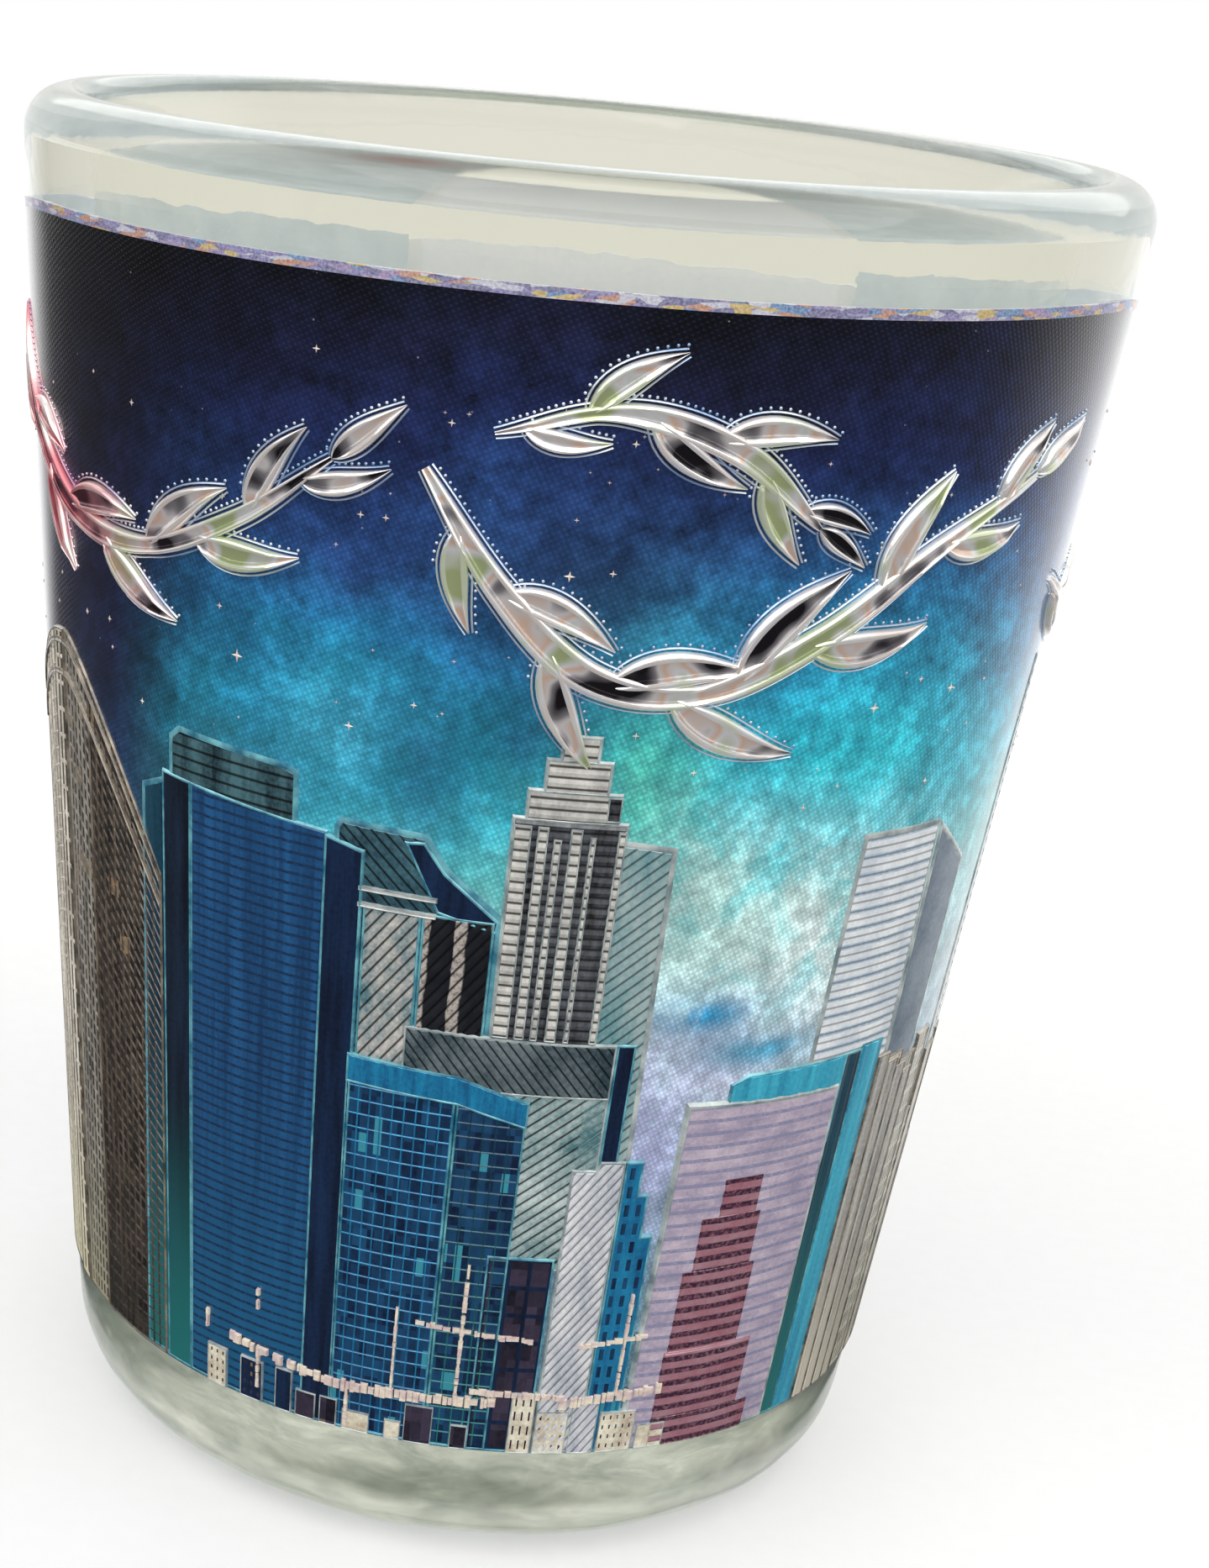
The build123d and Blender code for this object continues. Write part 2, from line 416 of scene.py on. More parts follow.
def ink_material(name, dark, light, metallic=0.45, roughness=0.3, streak=(0.5, 0.5),
                 fade=None, hatch=None, valley=0.12, stripes=()):
    """Ink on embossed foil: two tones mixed by streaky grain, under the gloss film.

    streak scales the grain along x and y, and fade is (low z, high z, colour at the foot).
    hatch is the (angle, pitch) of the ridges, whose valleys keep only a share of the colour, as painted
    shade.
    Each stripe is (axis, pitch, share of the pitch that it covers, colour).
    """
    material, g = new_material(name)
    vector, x, y = g.label_mm()
    grain = g.noise(g.stretch(vector, (*streak, 1.0)), 1.0, 6.0, 0.65)
    fine = g.noise(vector, 5.0, 3.0, 0.6)
    blend = g.math("MULTIPLY_ADD", g.math("SUBTRACT", fine, 0.5), 0.35, grain)
    colour = g.ramp(blend, [(0.34, dark), (0.66, light)])
    if fade is not None:
        low, high, foot = fade
        colour = g.mix(g.span(y, low, high, 1.0, 0.0), colour, foot)
    for axis, pitch, cover, tint in stripes:
        along = x if axis == "x" else y
        wobble = g.math("MULTIPLY_ADD", grain, 0.25 * pitch, along)
        place = g.math("FRACT", g.math("DIVIDE", wobble, pitch))
        inked = g.grey_ramp(place, [(cover * 0.85, 1.0), (cover, 0.0), (0.97, 0.0), (1.0, 1.0)])
        broken = g.grey_ramp(fine, [(0.30, 0.25), (0.55, 1.0)])
        colour = g.mix(g.math("MULTIPLY", inked, broken), colour, tint)
    # Painted shade: the valleys of the ridges are darkened in the colour.
    if hatch is not None:
        turn = math.radians(hatch[0])
        across = g.math("MULTIPLY_ADD", x, -math.sin(turn), g.math("MULTIPLY", y, math.cos(turn)))
        place = g.math("PINGPONG", g.math("DIVIDE", across, hatch[1]), 0.5)
        ridges = g.grey_ramp(place, [(0.06, valley), (0.17, 1.0)])
        colour = g.mix(1.0, colour, ridges, "MULTIPLY")
    g.surface(Base_Color=colour, Metallic=metallic, Roughness=roughness, Coat_Weight=1.0,
              Coat_Roughness=0.1, Normal=g.bump(fine, 0.15, 0.00003))
    return material


def window_material(name, dark, light, lit, lit_share, cell):
    """Window panes whose tone changes from pane to pane, a few of them lit."""
    material, g = new_material(name)
    vector, x, y = g.label_mm()
    column = g.math("FLOOR", g.math("DIVIDE", x, cell[0]))
    row = g.math("FLOOR", g.math("DIVIDE", y, cell[1]))
    place = g.node("CombineXYZ", {0: column, 1: row}).outputs[0]
    luck = g.node("TexWhiteNoise", {"Vector": place}, noise_dimensions="2D").outputs[0]
    grain = g.noise(vector, 3.0, 4.0, 0.6)
    tone = g.math("MULTIPLY_ADD", luck, 0.6, g.math("MULTIPLY", grain, 0.5))
    colour = g.ramp(tone, [(0.2, dark), (0.95, light)])
    on = g.math("GREATER_THAN", luck, 1.0 - lit_share)
    g.surface(Base_Color=g.mix(on, colour, lit), Metallic=0.35, Roughness=0.25, Coat_Weight=1.0,
              Coat_Roughness=0.08, Normal=g.bump(grain, 0.2, 0.00003))
    return material


def chrome_material(name, reflection_tints, red_reflection):
    """Bright foil, polished by the die. Its colour is painted reflection: mirrored tones drift along
    it, and a painted red reflection lies at the left end.
    """
    material, g = new_material(name)
    vector, x = g.label_mm()[:2]
    drift = g.noise(vector, 0.30, 2.0, 0.5)
    scratch = g.noise(g.stretch(vector, (3.0, 14.0, 1.0)), 1.0, 4.0)
    # Share of painted red reflection: full near x = -28 at the left end, fading out by 14 mm away.
    red_reflection_share = g.span(g.math("ABSOLUTE", g.math("ADD", x, 28.0)), 4.0, 14.0, 0.95, 0.0)
    g.surface(Base_Color=g.mix(red_reflection_share, g.ramp(drift, reflection_tints), g.ramp(drift, red_reflection)), Metallic=0.6,
              Roughness=g.math("MULTIPLY_ADD", scratch, 0.12, 0.08), Coat_Weight=0.6,
              Normal=g.bump(scratch, 0.15, 0.00002))
    return material


def line_material(name, dark, light):
    """Bright embossed line round a building."""
    material, g = new_material(name)
    vector = g.label_mm()[0]
    worn = g.noise(vector, 0.8, 4.0, 0.6)
    fine = g.noise(vector, 8.0, 2.0, 0.5)
    g.surface(Base_Color=g.ramp(worn, [(0.35, dark), (0.65, light)]), Metallic=0.3, Roughness=0.25,
              Coat_Weight=1.0, Normal=g.bump(fine, 0.15, 0.00002))
    return material


def paper_material():
    """Plain coated paper with a little fibre and yellowing."""
    material, g = new_material("plain_paper")
    place = g.node("TexCoord").outputs["Object"]
    fibre = g.noise(place, 2600.0, 6.0, 0.7)
    tinted_patch = g.noise(place, 120.0, 3.0, 0.5)
    tone = g.ramp(tinted_patch, [(0.3, (0.86, 0.87, 0.89)), (0.7, (0.93, 0.93, 0.92))])
    colour = g.mix(0.12, tone, g.grey_ramp(fibre, [(0.3, 0.5), (0.7, 1.0)]))
    g.surface(Base_Color=colour, Roughness=0.62, Normal=g.bump(fibre, 0.25, 0.00004))
    return material


# ---------------------------------------------------------------- meshes

def extent(verts):
    """Lowest and highest x, then lowest and highest y, of some vertices."""
    xs = [v.co.x for v in verts]
    ys = [v.co.y for v in verts]
    return min(xs), max(xs), min(ys), max(ys)


def mark_bake_uvs(bm):
    """Writes the flat position of each corner, and a chart for baking.

    Faces that look outwards fill the chart, and the others share a narrow strip below them.
    """
    flat = bm.loops.layers.uv.new("FlatMM")
    chart = bm.loops.layers.uv.new("OFBake")
    low_x, high_x, low_y, high_y = extent(bm.verts)
    for face in bm.faces:
        foot, tall = (0.06, 0.93) if face.normal.z > SHOWN else (0.01, 0.03)
        for loop in face.loops:
            x, y = loop.vert.co.xy
            loop[flat].uv = (x, y)
            across = 0.01 + 0.98 * (x - low_x) / (high_x - low_x)
            along = (y - low_y) / (high_y - low_y)
            loop[chart].uv = (across, foot + tall * along)


def slice_columns(bm):
    """Cuts a flat mesh into narrow upright strips, so that it can bend."""
    low_x, high_x = extent(bm.verts)[:2]
    for number in range(math.ceil(low_x / SLICE), math.floor(high_x / SLICE) + 1):
        everything = bm.verts[:] + bm.edges[:] + bm.faces[:]
        bmesh.ops.bisect_plane(bm, geom=everything, dist=WELD, plane_co=(number * SLICE, 0, 0),
                               plane_no=(1, 0, 0))


def add_object(name, bm, materials):
    """Turns a bmesh in metres into an object of the scene."""
    mesh = bpy.data.meshes.new(name)
    bm.to_mesh(mesh)
    bm.free()
    for material in materials:
        mesh.materials.append(material)
    made = bpy.data.objects.new(name, mesh)
    bpy.context.scene.collection.objects.link(made)
    return made


def add_piece(name, bm, materials, replaced=(), sharp=25.0):
    """Turns a bmesh in metres into a piece that rides on the one body."""
    piece = add_object(name, bm, materials)
    piece.data.shade_smooth()
    piece.data.set_sharp_from_angle(angle=math.radians(sharp))
    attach(piece, "root")
    if replaced:
        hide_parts(*replaced)


def add_artwork(name, bm, materials, replaced=(), sharp=25.0):
    """Charts and wraps a flat mesh, then adds it as a piece."""
    bm.normal_update()
    mark_bake_uvs(bm)
    for vertex in bm.verts:
        vertex.co = wrap(vertex.co)
    bm.normal_update()
    add_piece(name, bm, materials, replaced, sharp)


def closed_grid(bm, columns, rows, point):
    """A closed slab: point(i, j, side) places grid corners, side 1 in front and 0 behind."""
    corners = {}
    for side in (0, 1):
        for i in range(columns + 1):
            for j in range(rows + 1):
                corners[i, j, side] = bm.verts.new(point(i, j, side))
    for i in range(columns):
        for j in range(rows):
            ring = [(i, j), (i + 1, j), (i + 1, j + 1), (i, j + 1)]
            bm.faces.new([corners[a, b, 1] for a, b in ring])
            bm.faces.new([corners[a, b, 0] for a, b in reversed(ring)])
    border = [(i, 0) for i in range(columns)]
    border += [(columns, j) for j in range(rows)]
    border += [(i, rows) for i in range(columns, 0, -1)]
    border += [(0, j) for j in range(rows, 0, -1)]
    for (a, b), (c, d) in zip(border, border[1:] + border[:1]):
        bm.faces.new([corners[a, b, 0], corners[c, d, 0], corners[c, d, 1], corners[a, b, 1]])


def band(bm, low, high):
    """Joins two rings of vertices with a band of faces, and returns them."""
    count = len(low)
    faces = []
    for k in range(count):
        ahead = (k + 1) % count
        faces.append(bm.faces.new([low[k], low[ahead], high[ahead], high[k]]))
    return faces


def plate(bm, outline, height, rim):
    """A raised panel on the label, with an embossed line round it.

    outline holds (azimuth, z) corners, counter-clockwise as seen, and rim the widths of the
    line's rise, crest and drop. Material 0 is the line and material 1 the panel inside it.
    """
    corners = [(azimuth * DEGREE_MM, z) for azimuth, z in outline]
    low = [bm.verts.new((x, y, ART_FOOT)) for x, y in corners]
    high = [bm.verts.new((x, y, SHEET_OUTER)) for x, y in corners]
    bm.faces.new(list(reversed(low)))
    band(bm, low, high)
    face = bm.faces.new(high)
    face.normal_update()
    for thickness, depth in zip(rim, (height, 0.0, -GROOVE)):
        bmesh.ops.inset_region(bm, faces=[face], thickness=thickness, depth=depth,
                               use_even_offset=True)
    face.material_index = 1


def panel_faces(bm):
    return [f for f in bm.faces if f.material_index == 1]


def cut_panel(bm, point, direction):
    """Cuts the panel along a line."""
    faces = panel_faces(bm)
    geometry = set(faces)
    for face in faces:
        geometry.update(face.edges)
        geometry.update(face.verts)
    bmesh.ops.bisect_plane(bm, geom=list(geometry), dist=WELD, plane_co=point, plane_no=direction)


def corrugate(bm, angle, pitch, amplitude):
    """Folds the panel into fine ridges that run at an angle, in degrees."""
    turn = math.radians(angle)
    across = Vector((-math.sin(turn), math.cos(turn), 0))
    spots = [v.co.dot(across) for f in panel_faces(bm) for v in f.verts]
    half = pitch / 2
    for number in range(math.ceil(min(spots) / half), math.floor(max(spots) / half) + 1):
        cut_panel(bm, across * (number * half), across)
    faces = panel_faces(bm)
    bmesh.ops.inset_region(bm, faces=faces, thickness=RIDGE_INSET, depth=0.0,
                           use_even_offset=False)
    for vertex in {v for f in faces for v in f.verts}:
        number = vertex.co.dot(across) / half
        if abs(number - round(number)) < ON_CREST and round(number) % 2:
            vertex.co.z += amplitude


def windows(bm, columns, rows, frame_width, depth):
    """Cuts the panel into a grid of sunken panes, which get material 2."""
    low_x, high_x, low_y, high_y = extent([v for f in panel_faces(bm) for v in f.verts])
    for i in range(1, columns):
        cut_panel(bm, (low_x + (high_x - low_x) * i / columns, 0, 0), (1, 0, 0))
    for j in range(1, rows):
        cut_panel(bm, (0, low_y + (high_y - low_y) * j / rows, 0), (0, 1, 0))
    panes = []
    for face in panel_faces(bm):
        left, right, bottom, top = extent(face.verts)
        if min(right - left, top - bottom) > SMALLEST_PANE * frame_width and len(face.verts) == 4:
            panes.append(face)
    bmesh.ops.inset_individual(bm, faces=panes, thickness=frame_width, depth=-depth,
                               use_even_offset=True)
    for face in panes:
        face.material_index = 2


def building(name, outline, row, inks, relief=None, rim=THIN_RIM, warp=None):
    """One embossed building. inks names the finishes of its line, panel and panes.

    row is how far it stands out, relief(bm) shapes its panel and warp(x, y) moves flat points.
    """
    bm = bmesh.new()
    plate(bm, outline, row, rim)
    if relief is not None:
        relief(bm)
    slice_columns(bm)
    if warp is not None:
        for vertex in bm.verts:
            vertex.co.x, vertex.co.y = warp(vertex.co.x, vertex.co.y)
    add_artwork(name, bm, [INK[word] for word in inks.split()])


def shed(left, right, bottom, left_top, right_top):
    """Outline with upright sides and a slanted top."""
    return [(left, bottom), (right, bottom), (right, right_top), (left, left_top)]


def box(left, right, bottom, top):
    return shed(left, right, bottom, top, top)


# ---------------------------------------------------------------- glass

def rounded_corner(before, corner, after, radius, steps):
    """Points of the arc that rounds the corner between two straight stretches."""
    corner = Vector(corner)
    back = (Vector(before) - corner).normalized()
    ahead = (Vector(after) - corner).normalized()
    half = back.angle(ahead) / 2
    centre = corner + (back + ahead).normalized() * (radius / math.sin(half))
    start = corner + back * (radius / math.tan(half)) - centre
    end = corner + ahead * (radius / math.tan(half)) - centre
    sweep = start.angle_signed(end)
    turns = [Matrix.Rotation(-sweep * k / steps, 2) for k in range(steps + 1)]
    return [centre + turn @ start for turn in turns]


def glass_section():
    """(radius, height) points from the middle of the underside round to the floor's middle."""
    floor_radius = BASE_RADIUS + TAPER * FLOOR_HEIGHT - FLOOR_WALL
    foot = (BASE_RADIUS, 0.0)
    rim = (RIM_RADIUS, GLASS_HEIGHT)
    inner_rim = (RIM_RADIUS - RIM_WALL, GLASS_HEIGHT)
    inner_foot = (floor_radius, FLOOR_HEIGHT)
    floor_middle = (0.0, FLOOR_HEIGHT)
    ring = (RING_INNER, 0.0)
    corners = [Vector((0.0, PUNT_DEPTH)), Vector(ring)]
    corners += rounded_corner(ring, foot, rim, BASE_EDGE, 16)
    corners += rounded_corner(foot, rim, inner_rim, LIP_OUTER, 14)
    corners += rounded_corner(rim, inner_rim, inner_foot, LIP_INNER, 10)
    corners += rounded_corner(inner_rim, inner_foot, floor_middle, FLOOR_CORNER, 16)
    corners.append(Vector(floor_middle))
    points = []
    for a, b in zip(corners, corners[1:]):
        steps = max(1, math.ceil((b - a).length / 0.8))
        points += [a.lerp(b, k / steps) for k in range(steps)]
    points.append(corners[-1])
    for number, p in enumerate(points):
        if number < len(points) / 2 and p.x < RING_INNER:
            p.y = PUNT_DEPTH * (1 - (p.x / RING_INNER) ** 2)
        elif number > len(points) / 2 and p.x < floor_radius and p.y < FLOOR_HEIGHT + FLOOR_CORNER:
            p.y -= FLOOR_DISH * (1 - (p.x / floor_radius) ** 2)
    return points


def glass_ripple(radius, z, azimuth, inside):
    """How far the moulded surface wanders from its section, in millimetres."""
    place = Vector((radius * math.cos(azimuth), radius * math.sin(azimuth), z))
    if inside:
        return 0.0015 * noise.noise(place * 0.1)
    if z < LABEL_BOTTOM:
        share = 1 - z / LABEL_BOTTOM
        stipple = 0.0
        if RING_INNER < radius < RING_OUTER + 1.0 and z < 0.5:
            stipple = 0.05 * abs(math.sin(70 * azimuth))
        wide = noise.noise(Vector((place.x, place.y, 2.5 * place.z)) * 0.22)
        return share * (0.09 * wide + 0.022 * noise.noise(place * 0.8)) - stipple
    return 0.0


def build_glass():
    """Lathed tumbler with a smooth lip, a rippled inside and a cloudy pressed base."""
    points = glass_section()
    segments = 360
    last = len(points) - 1
    bm = bmesh.new()
    chart = bm.loops.layers.uv.new("OFBake")
    rings = []
    for number, p in enumerate(points):
        inside = number > len(points) / 2
        if p.x < WELD:
            rings.append([bm.verts.new(Vector((0, 0, p.y)) * MM)] * segments)
            continue
        ring = []
        for k in range(segments):
            azimuth = 2 * math.pi * k / segments
            bulge = glass_ripple(p.x, p.y, azimuth, inside)
            radius = p.x + bulge
            height = max(0.0, p.y - bulge) if p.y < 1.5 else p.y
            x, y = radius * math.sin(azimuth), -radius * math.cos(azimuth)
            ring.append(bm.verts.new(Vector((x, y, height)) * MM))
        rings.append(ring)
    for number in range(last):
        for k in range(segments):
            ahead = (k + 1) % segments
            corners = [
                (rings[number][k], k, number),
                (rings[number][ahead], k + 1, number),
                (rings[number + 1][ahead], k + 1, number + 1),
                (rings[number + 1][k], k, number + 1),
            ]
            kept = [c for i, c in enumerate(corners) if c[0] is not corners[i - 1][0]]
            face = bm.faces.new([c[0] for c in kept])
            for loop, (vertex, across, along) in zip(face.loops, kept):
                loop[chart].uv = (across / segments, along / last)
    bmesh.ops.recalc_face_normals(bm, faces=bm.faces)
    add_piece("glass_body", bm, [glass_material()], ["glass_tumbler"], sharp=60)


# ---------------------------------------------------------------- label sheets

def label_bottom(azimuth):
    """Height of the label's bottom edge, which is level."""
    return LABEL_BOTTOM


def picture_top(azimuth):
    return label_top(azimuth) - EDGE_STRIP


def label_sheet(name, edges, layer, row_height, material, replaced=()):
    """A closed sheet the whole way round the label.

    edges are functions of azimuth for its bottom and top, and layer its two distances from
    the glass.
    """
    bottom, top = edges
    columns = round(LABEL_END - LABEL_START)
    middle = (LABEL_START + LABEL_END) / 2
    rows = round((top(middle) - bottom(middle)) / row_height)

    def point(i, j, side):
        azimuth = LABEL_START + (LABEL_END - LABEL_START) * i / columns
        low, high = bottom(azimuth), top(azimuth)
        return (azimuth * DEGREE_MM, low + (high - low) * j / rows, layer[side])

    bm = bmesh.new()
    closed_grid(bm, columns, rows, point)
    add_artwork(name, bm, [material], replaced)


def build_label_sheets():
    """The adhesive back, the printed sky in front of it, and the speckled top edge."""
    label_sheet("label_back", (label_bottom, label_top), (BACK_INNER, BACK_OUTER), 2.0,
                label_back_material(), ["label_adhesive"])
    label_sheet("label_sky_sheet", (label_bottom, picture_top), (BACK_OUTER / 2, SHEET_OUTER), 1.0,
                sky_material(), ["label_foil", "label_print_film"])
    label_sheet("label_edge_strip", (picture_top, label_top), (BACK_OUTER / 2, STRIP_OUTER), 0.15,
                edge_strip_material())


def build_sticker():
    """Blank paper sticker on the glass in the gap, lapping over both ends of the label."""
    middle = (LABEL_END + LABEL_START + 360) / 2
    sides = [azimuth_of(v.co) % 360 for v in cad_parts["back_sticker"].data.vertices]
    half_angle = max(abs(side - middle) for side in sides)
    bottom, top = sticker_low.z / MM, sticker_high.z / MM
    degree_here = math.radians(cone_radius((bottom + top) / 2))
    half_wide = half_angle * degree_here
    columns, rows = 90, 40

    def point(i, j, side):
        across = -half_wide + 2 * half_wide * i / columns
        up = bottom + (top - bottom) * j / rows
        edge_x = half_wide - abs(across)
        if edge_x < STICKER_CORNER:
            trim = STICKER_CORNER - math.sqrt(STICKER_CORNER ** 2 - (STICKER_CORNER - edge_x) ** 2)
            up = bottom + trim + (top - bottom - 2 * trim) * j / rows
        azimuth = middle + across / degree_here
        inside_gap = min(azimuth - LABEL_END, LABEL_START + 360 - azimuth) * degree_here
        climb = min(1.0, max(0.0, 1.0 - inside_gap / STICKER_CLIMB))
        climb = climb * climb * (3 - 2 * climb)
        wrinkle = 0.02 * max(0.0, noise.noise(Vector((across, up, 3.0)) * 0.25))
        inner = BACK_INNER + climb * (SHEET_OUTER + 0.005 - BACK_INNER)
        return (azimuth * DEGREE_MM, up, inner + side * (STICKER_THICKNESS + wrinkle - BACK_INNER))

    bm = bmesh.new()
    closed_grid(bm, columns, rows, point)
    add_artwork("back_sticker_paper", bm, [paper_material()], ["back_sticker"])


# ---------------------------------------------------------------- inks

INK = {}


def add_ink(name, dark, light, **how):
    INK[name] = ink_material("ink_" + name, dark, light, **how)


def make_inks():
    """Every finish that the buildings use, by a plain name."""
    INK["line"] = line_material("embossed_line", (0.20, 0.26, 0.28), (0.62, 0.68, 0.66))
    INK["blue_line"] = line_material("embossed_line_blue", (0.02, 0.16, 0.26), (0.20, 0.55, 0.62))
    INK["tan_line"] = line_material("embossed_line_tan", (0.06, 0.05, 0.04), (0.36, 0.30, 0.23))
    # An ink's hatch darkens the valleys of its ridges: painted shade.
    add_ink("slab_blue", (0.007, 0.056, 0.165), (0.020, 0.140, 0.370), streak=(1.6, 0.05),
            fade=(3, 23, (0.012, 0.155, 0.330)), stripes=[("y", 0.45, 0.30, (0.010, 0.040, 0.110))])
    add_ink("slab_top", (0.004, 0.016, 0.03), (0.10, 0.24, 0.28), streak=(0.9, 0.1), hatch=(0, 0.5))
    add_ink("navy", (0.002, 0.008, 0.030), (0.008, 0.034, 0.110), streak=(1.5, 0.1))
    add_ink("teal", (0.003, 0.025, 0.055), (0.010, 0.10, 0.17), streak=(1.2, 0.1),
            fade=(4, 22, (0.015, 0.24, 0.24)))
    add_ink("bay_navy", (0.003, 0.006, 0.016), (0.010, 0.030, 0.070), streak=(1.2, 0.1),
            fade=(4, 21, (0.015, 0.24, 0.24)))
    add_ink("bright_blue", (0.006, 0.13, 0.32), (0.016, 0.32, 0.60), streak=(2.5, 0.3))
    add_ink("cyan", (0.03, 0.34, 0.56), (0.09, 0.70, 0.92), streak=(1.5, 0.08))
    add_ink("silver_left", (0.10, 0.24, 0.28), (0.85, 0.78, 0.72), metallic=0.4, streak=(0.6, 0.35),
            hatch=(52, 0.42))
    add_ink("silver_level", (0.46, 0.45, 0.43), (0.86, 0.84, 0.78), metallic=0.4, streak=(0.8, 0.3),
            hatch=(0, 0.45))
    add_ink("silver", (0.50, 0.48, 0.46), (0.85, 0.80, 0.76), metallic=0.4, streak=(0.8, 0.4))
    add_ink("roof_hatch", (0.008, 0.03, 0.06), (0.10, 0.26, 0.32), metallic=0.5, streak=(0.35, 0.35),
            hatch=(-42, 0.40))
    add_ink("podium_hatch", (0.10, 0.24, 0.27), (0.72, 0.84, 0.82), metallic=0.4, streak=(0.25, 0.3),
            hatch=(38, 0.42))
    add_ink("crown_hatch", (0.03, 0.06, 0.08), (0.22, 0.28, 0.30), metallic=0.4, streak=(0.3, 0.3),
            hatch=(-48, 0.36))
    add_ink("striped_silver", (0.006, 0.008, 0.014), (0.020, 0.022, 0.03), metallic=0.4,
            stripes=[("x", 1.55, 0.34, (0.62, 0.55, 0.50))], hatch=(52, 0.42))
    add_ink("pale_hatch", (0.12, 0.34, 0.38), (0.50, 0.64, 0.64), metallic=0.4, roughness=0.25,
            streak=(0.5, 0.15), hatch=(40, 0.42), valley=0.3)
    add_ink("white", (0.62, 0.68, 0.74), (0.95, 0.97, 0.97), metallic=0.15,
            stripes=[("y", 0.80, 0.30, (0.42, 0.54, 0.66))], hatch=(0, 0.40), valley=0.45)
    add_ink("white_hatch", (0.48, 0.52, 0.60), (0.90, 0.90, 0.92), metallic=0.3, streak=(0.7, 0.25),
            hatch=(52, 0.36), valley=0.35)
    add_ink("violet_grey", (0.10, 0.16, 0.24), (0.26, 0.34, 0.42))
    add_ink("lavender", (0.46, 0.40, 0.56), (0.86, 0.72, 0.84), streak=(0.5, 0.9),
            stripes=[("y", 0.62, 0.30, (0.36, 0.36, 0.56))])
    add_ink("wine", (0.46, 0.17, 0.22), (0.56, 0.32, 0.38), streak=(0.5, 0.9),
            stripes=[("y", 0.62, 0.50, (0.060, 0.018, 0.05))])
    add_ink("masonry", (0.34, 0.30, 0.25), (0.94, 0.88, 0.76), metallic=0.15, streak=(2.2, 0.25),
            fade=(0, 18, (0.74, 0.70, 0.46)))
    add_ink("masonry_mid", (0.10, 0.09, 0.08), (0.40, 0.37, 0.32), metallic=0.2, streak=(2.2, 0.25),
            fade=(0, 16, (0.42, 0.40, 0.26)))
    add_ink("masonry_dark", (0.012, 0.009, 0.008), (0.16, 0.12, 0.09), metallic=0.3, streak=(3.0, 0.22),
            fade=(0, 16, (0.015, 0.016, 0.014)))
    add_ink("beige", (0.44, 0.43, 0.36), (0.78, 0.76, 0.62), metallic=0.2, streak=(0.5, 0.7))
    add_ink("grey_brown", (0.16, 0.15, 0.15), (0.62, 0.60, 0.54), metallic=0.2, streak=(1.8, 0.08),
            fade=(5, 16, (0.70, 0.66, 0.54)))
    add_ink("louvre_dark", (0.010, 0.010, 0.014), (0.12, 0.13, 0.15), metallic=0.4, streak=(1.2, 0.2),
            hatch=(0, 0.45))
    add_ink("warm", (0.44, 0.36, 0.26), (0.86, 0.82, 0.66), metallic=0.1, streak=(0.9, 0.9))
    add_ink("glow", (0.55, 0.40, 0.42), (0.86, 0.78, 0.60), metallic=0.1, streak=(0.5, 1.5))
    INK["pane_blue"] = window_material("pane_blue", (0.002, 0.010, 0.045), (0.012, 0.095, 0.23),
                                       (0.05, 0.34, 0.44), 0.04, (0.35, 0.9))
    INK["pane_black"] = window_material("pane_black", (0.006, 0.006, 0.014), (0.08, 0.06, 0.11),
                                        (0.26, 0.17, 0.09), 0.06, (0.55, 0.9))
    INK["pane_tan"] = window_material("pane_tan", (0.006, 0.006, 0.006), (0.07, 0.055, 0.04),
                                      (0.36, 0.24, 0.12), 0.04, (0.9, 0.8))


# ---------------------------------------------------------------- skyline

BACK_ROW, MIDDLE_ROW, FRONT_ROW = 0.05, 0.09, 0.15   # how far each row of buildings stands out
FOOT = 6.08                                           # art stops just inside the label's edge


def ridged(angle, pitch, amplitude):
    return lambda bm: corrugate(bm, angle, pitch, amplitude)


def paned(columns, rows, frame_width, depth=0.02):
    return lambda bm: windows(bm, columns, rows, frame_width, depth)


def masonry_tower():
    """Tall stone block whose cornice falls to the right, so its window rows fan out."""
    left, right, crown = -79.0, -40.8, 38.0

    def roof(azimuth):
        if azimuth < -62:
            return 37.9 - 4.0 * ((azimuth + 62) / 17) ** 2
        return 37.9 - 8.4 * ((azimuth + 62) / 21) ** 1.5

    def lean(x, y):
        share = (y - FOOT) / (crown - FOOT)
        return x, FOOT + share * (roof(x / DEGREE_MM) - FOOT)

    bays = [
        ("far_face", left, -66.2, 6, 40, "masonry", MIDDLE_ROW),
        ("corner", -66.4, -62.4, 2, 26, "masonry", FRONT_ROW),
        ("middle_face", -62.6, -55.4, 6, 44, "masonry_mid", MIDDLE_ROW),
        ("near_face", -55.6, right, 11, 44, "masonry_dark", MIDDLE_ROW),
    ]
    for name, start, end, columns, rows, tone, row in bays:
        building("tower_stone_" + name, box(start, end, FOOT, crown), row,
                 f"tan_line {tone} pane_tan", paned(columns, rows, 0.10, 0.05), warp=lean)
    for number, share in enumerate((0.93, 0.975)):
        z = FOOT + share * (crown - FOOT)
        building(f"tower_stone_cornice_{number}", box(left, right, z, z + 0.38), FRONT_ROW,
                 "tan_line masonry", warp=lean)


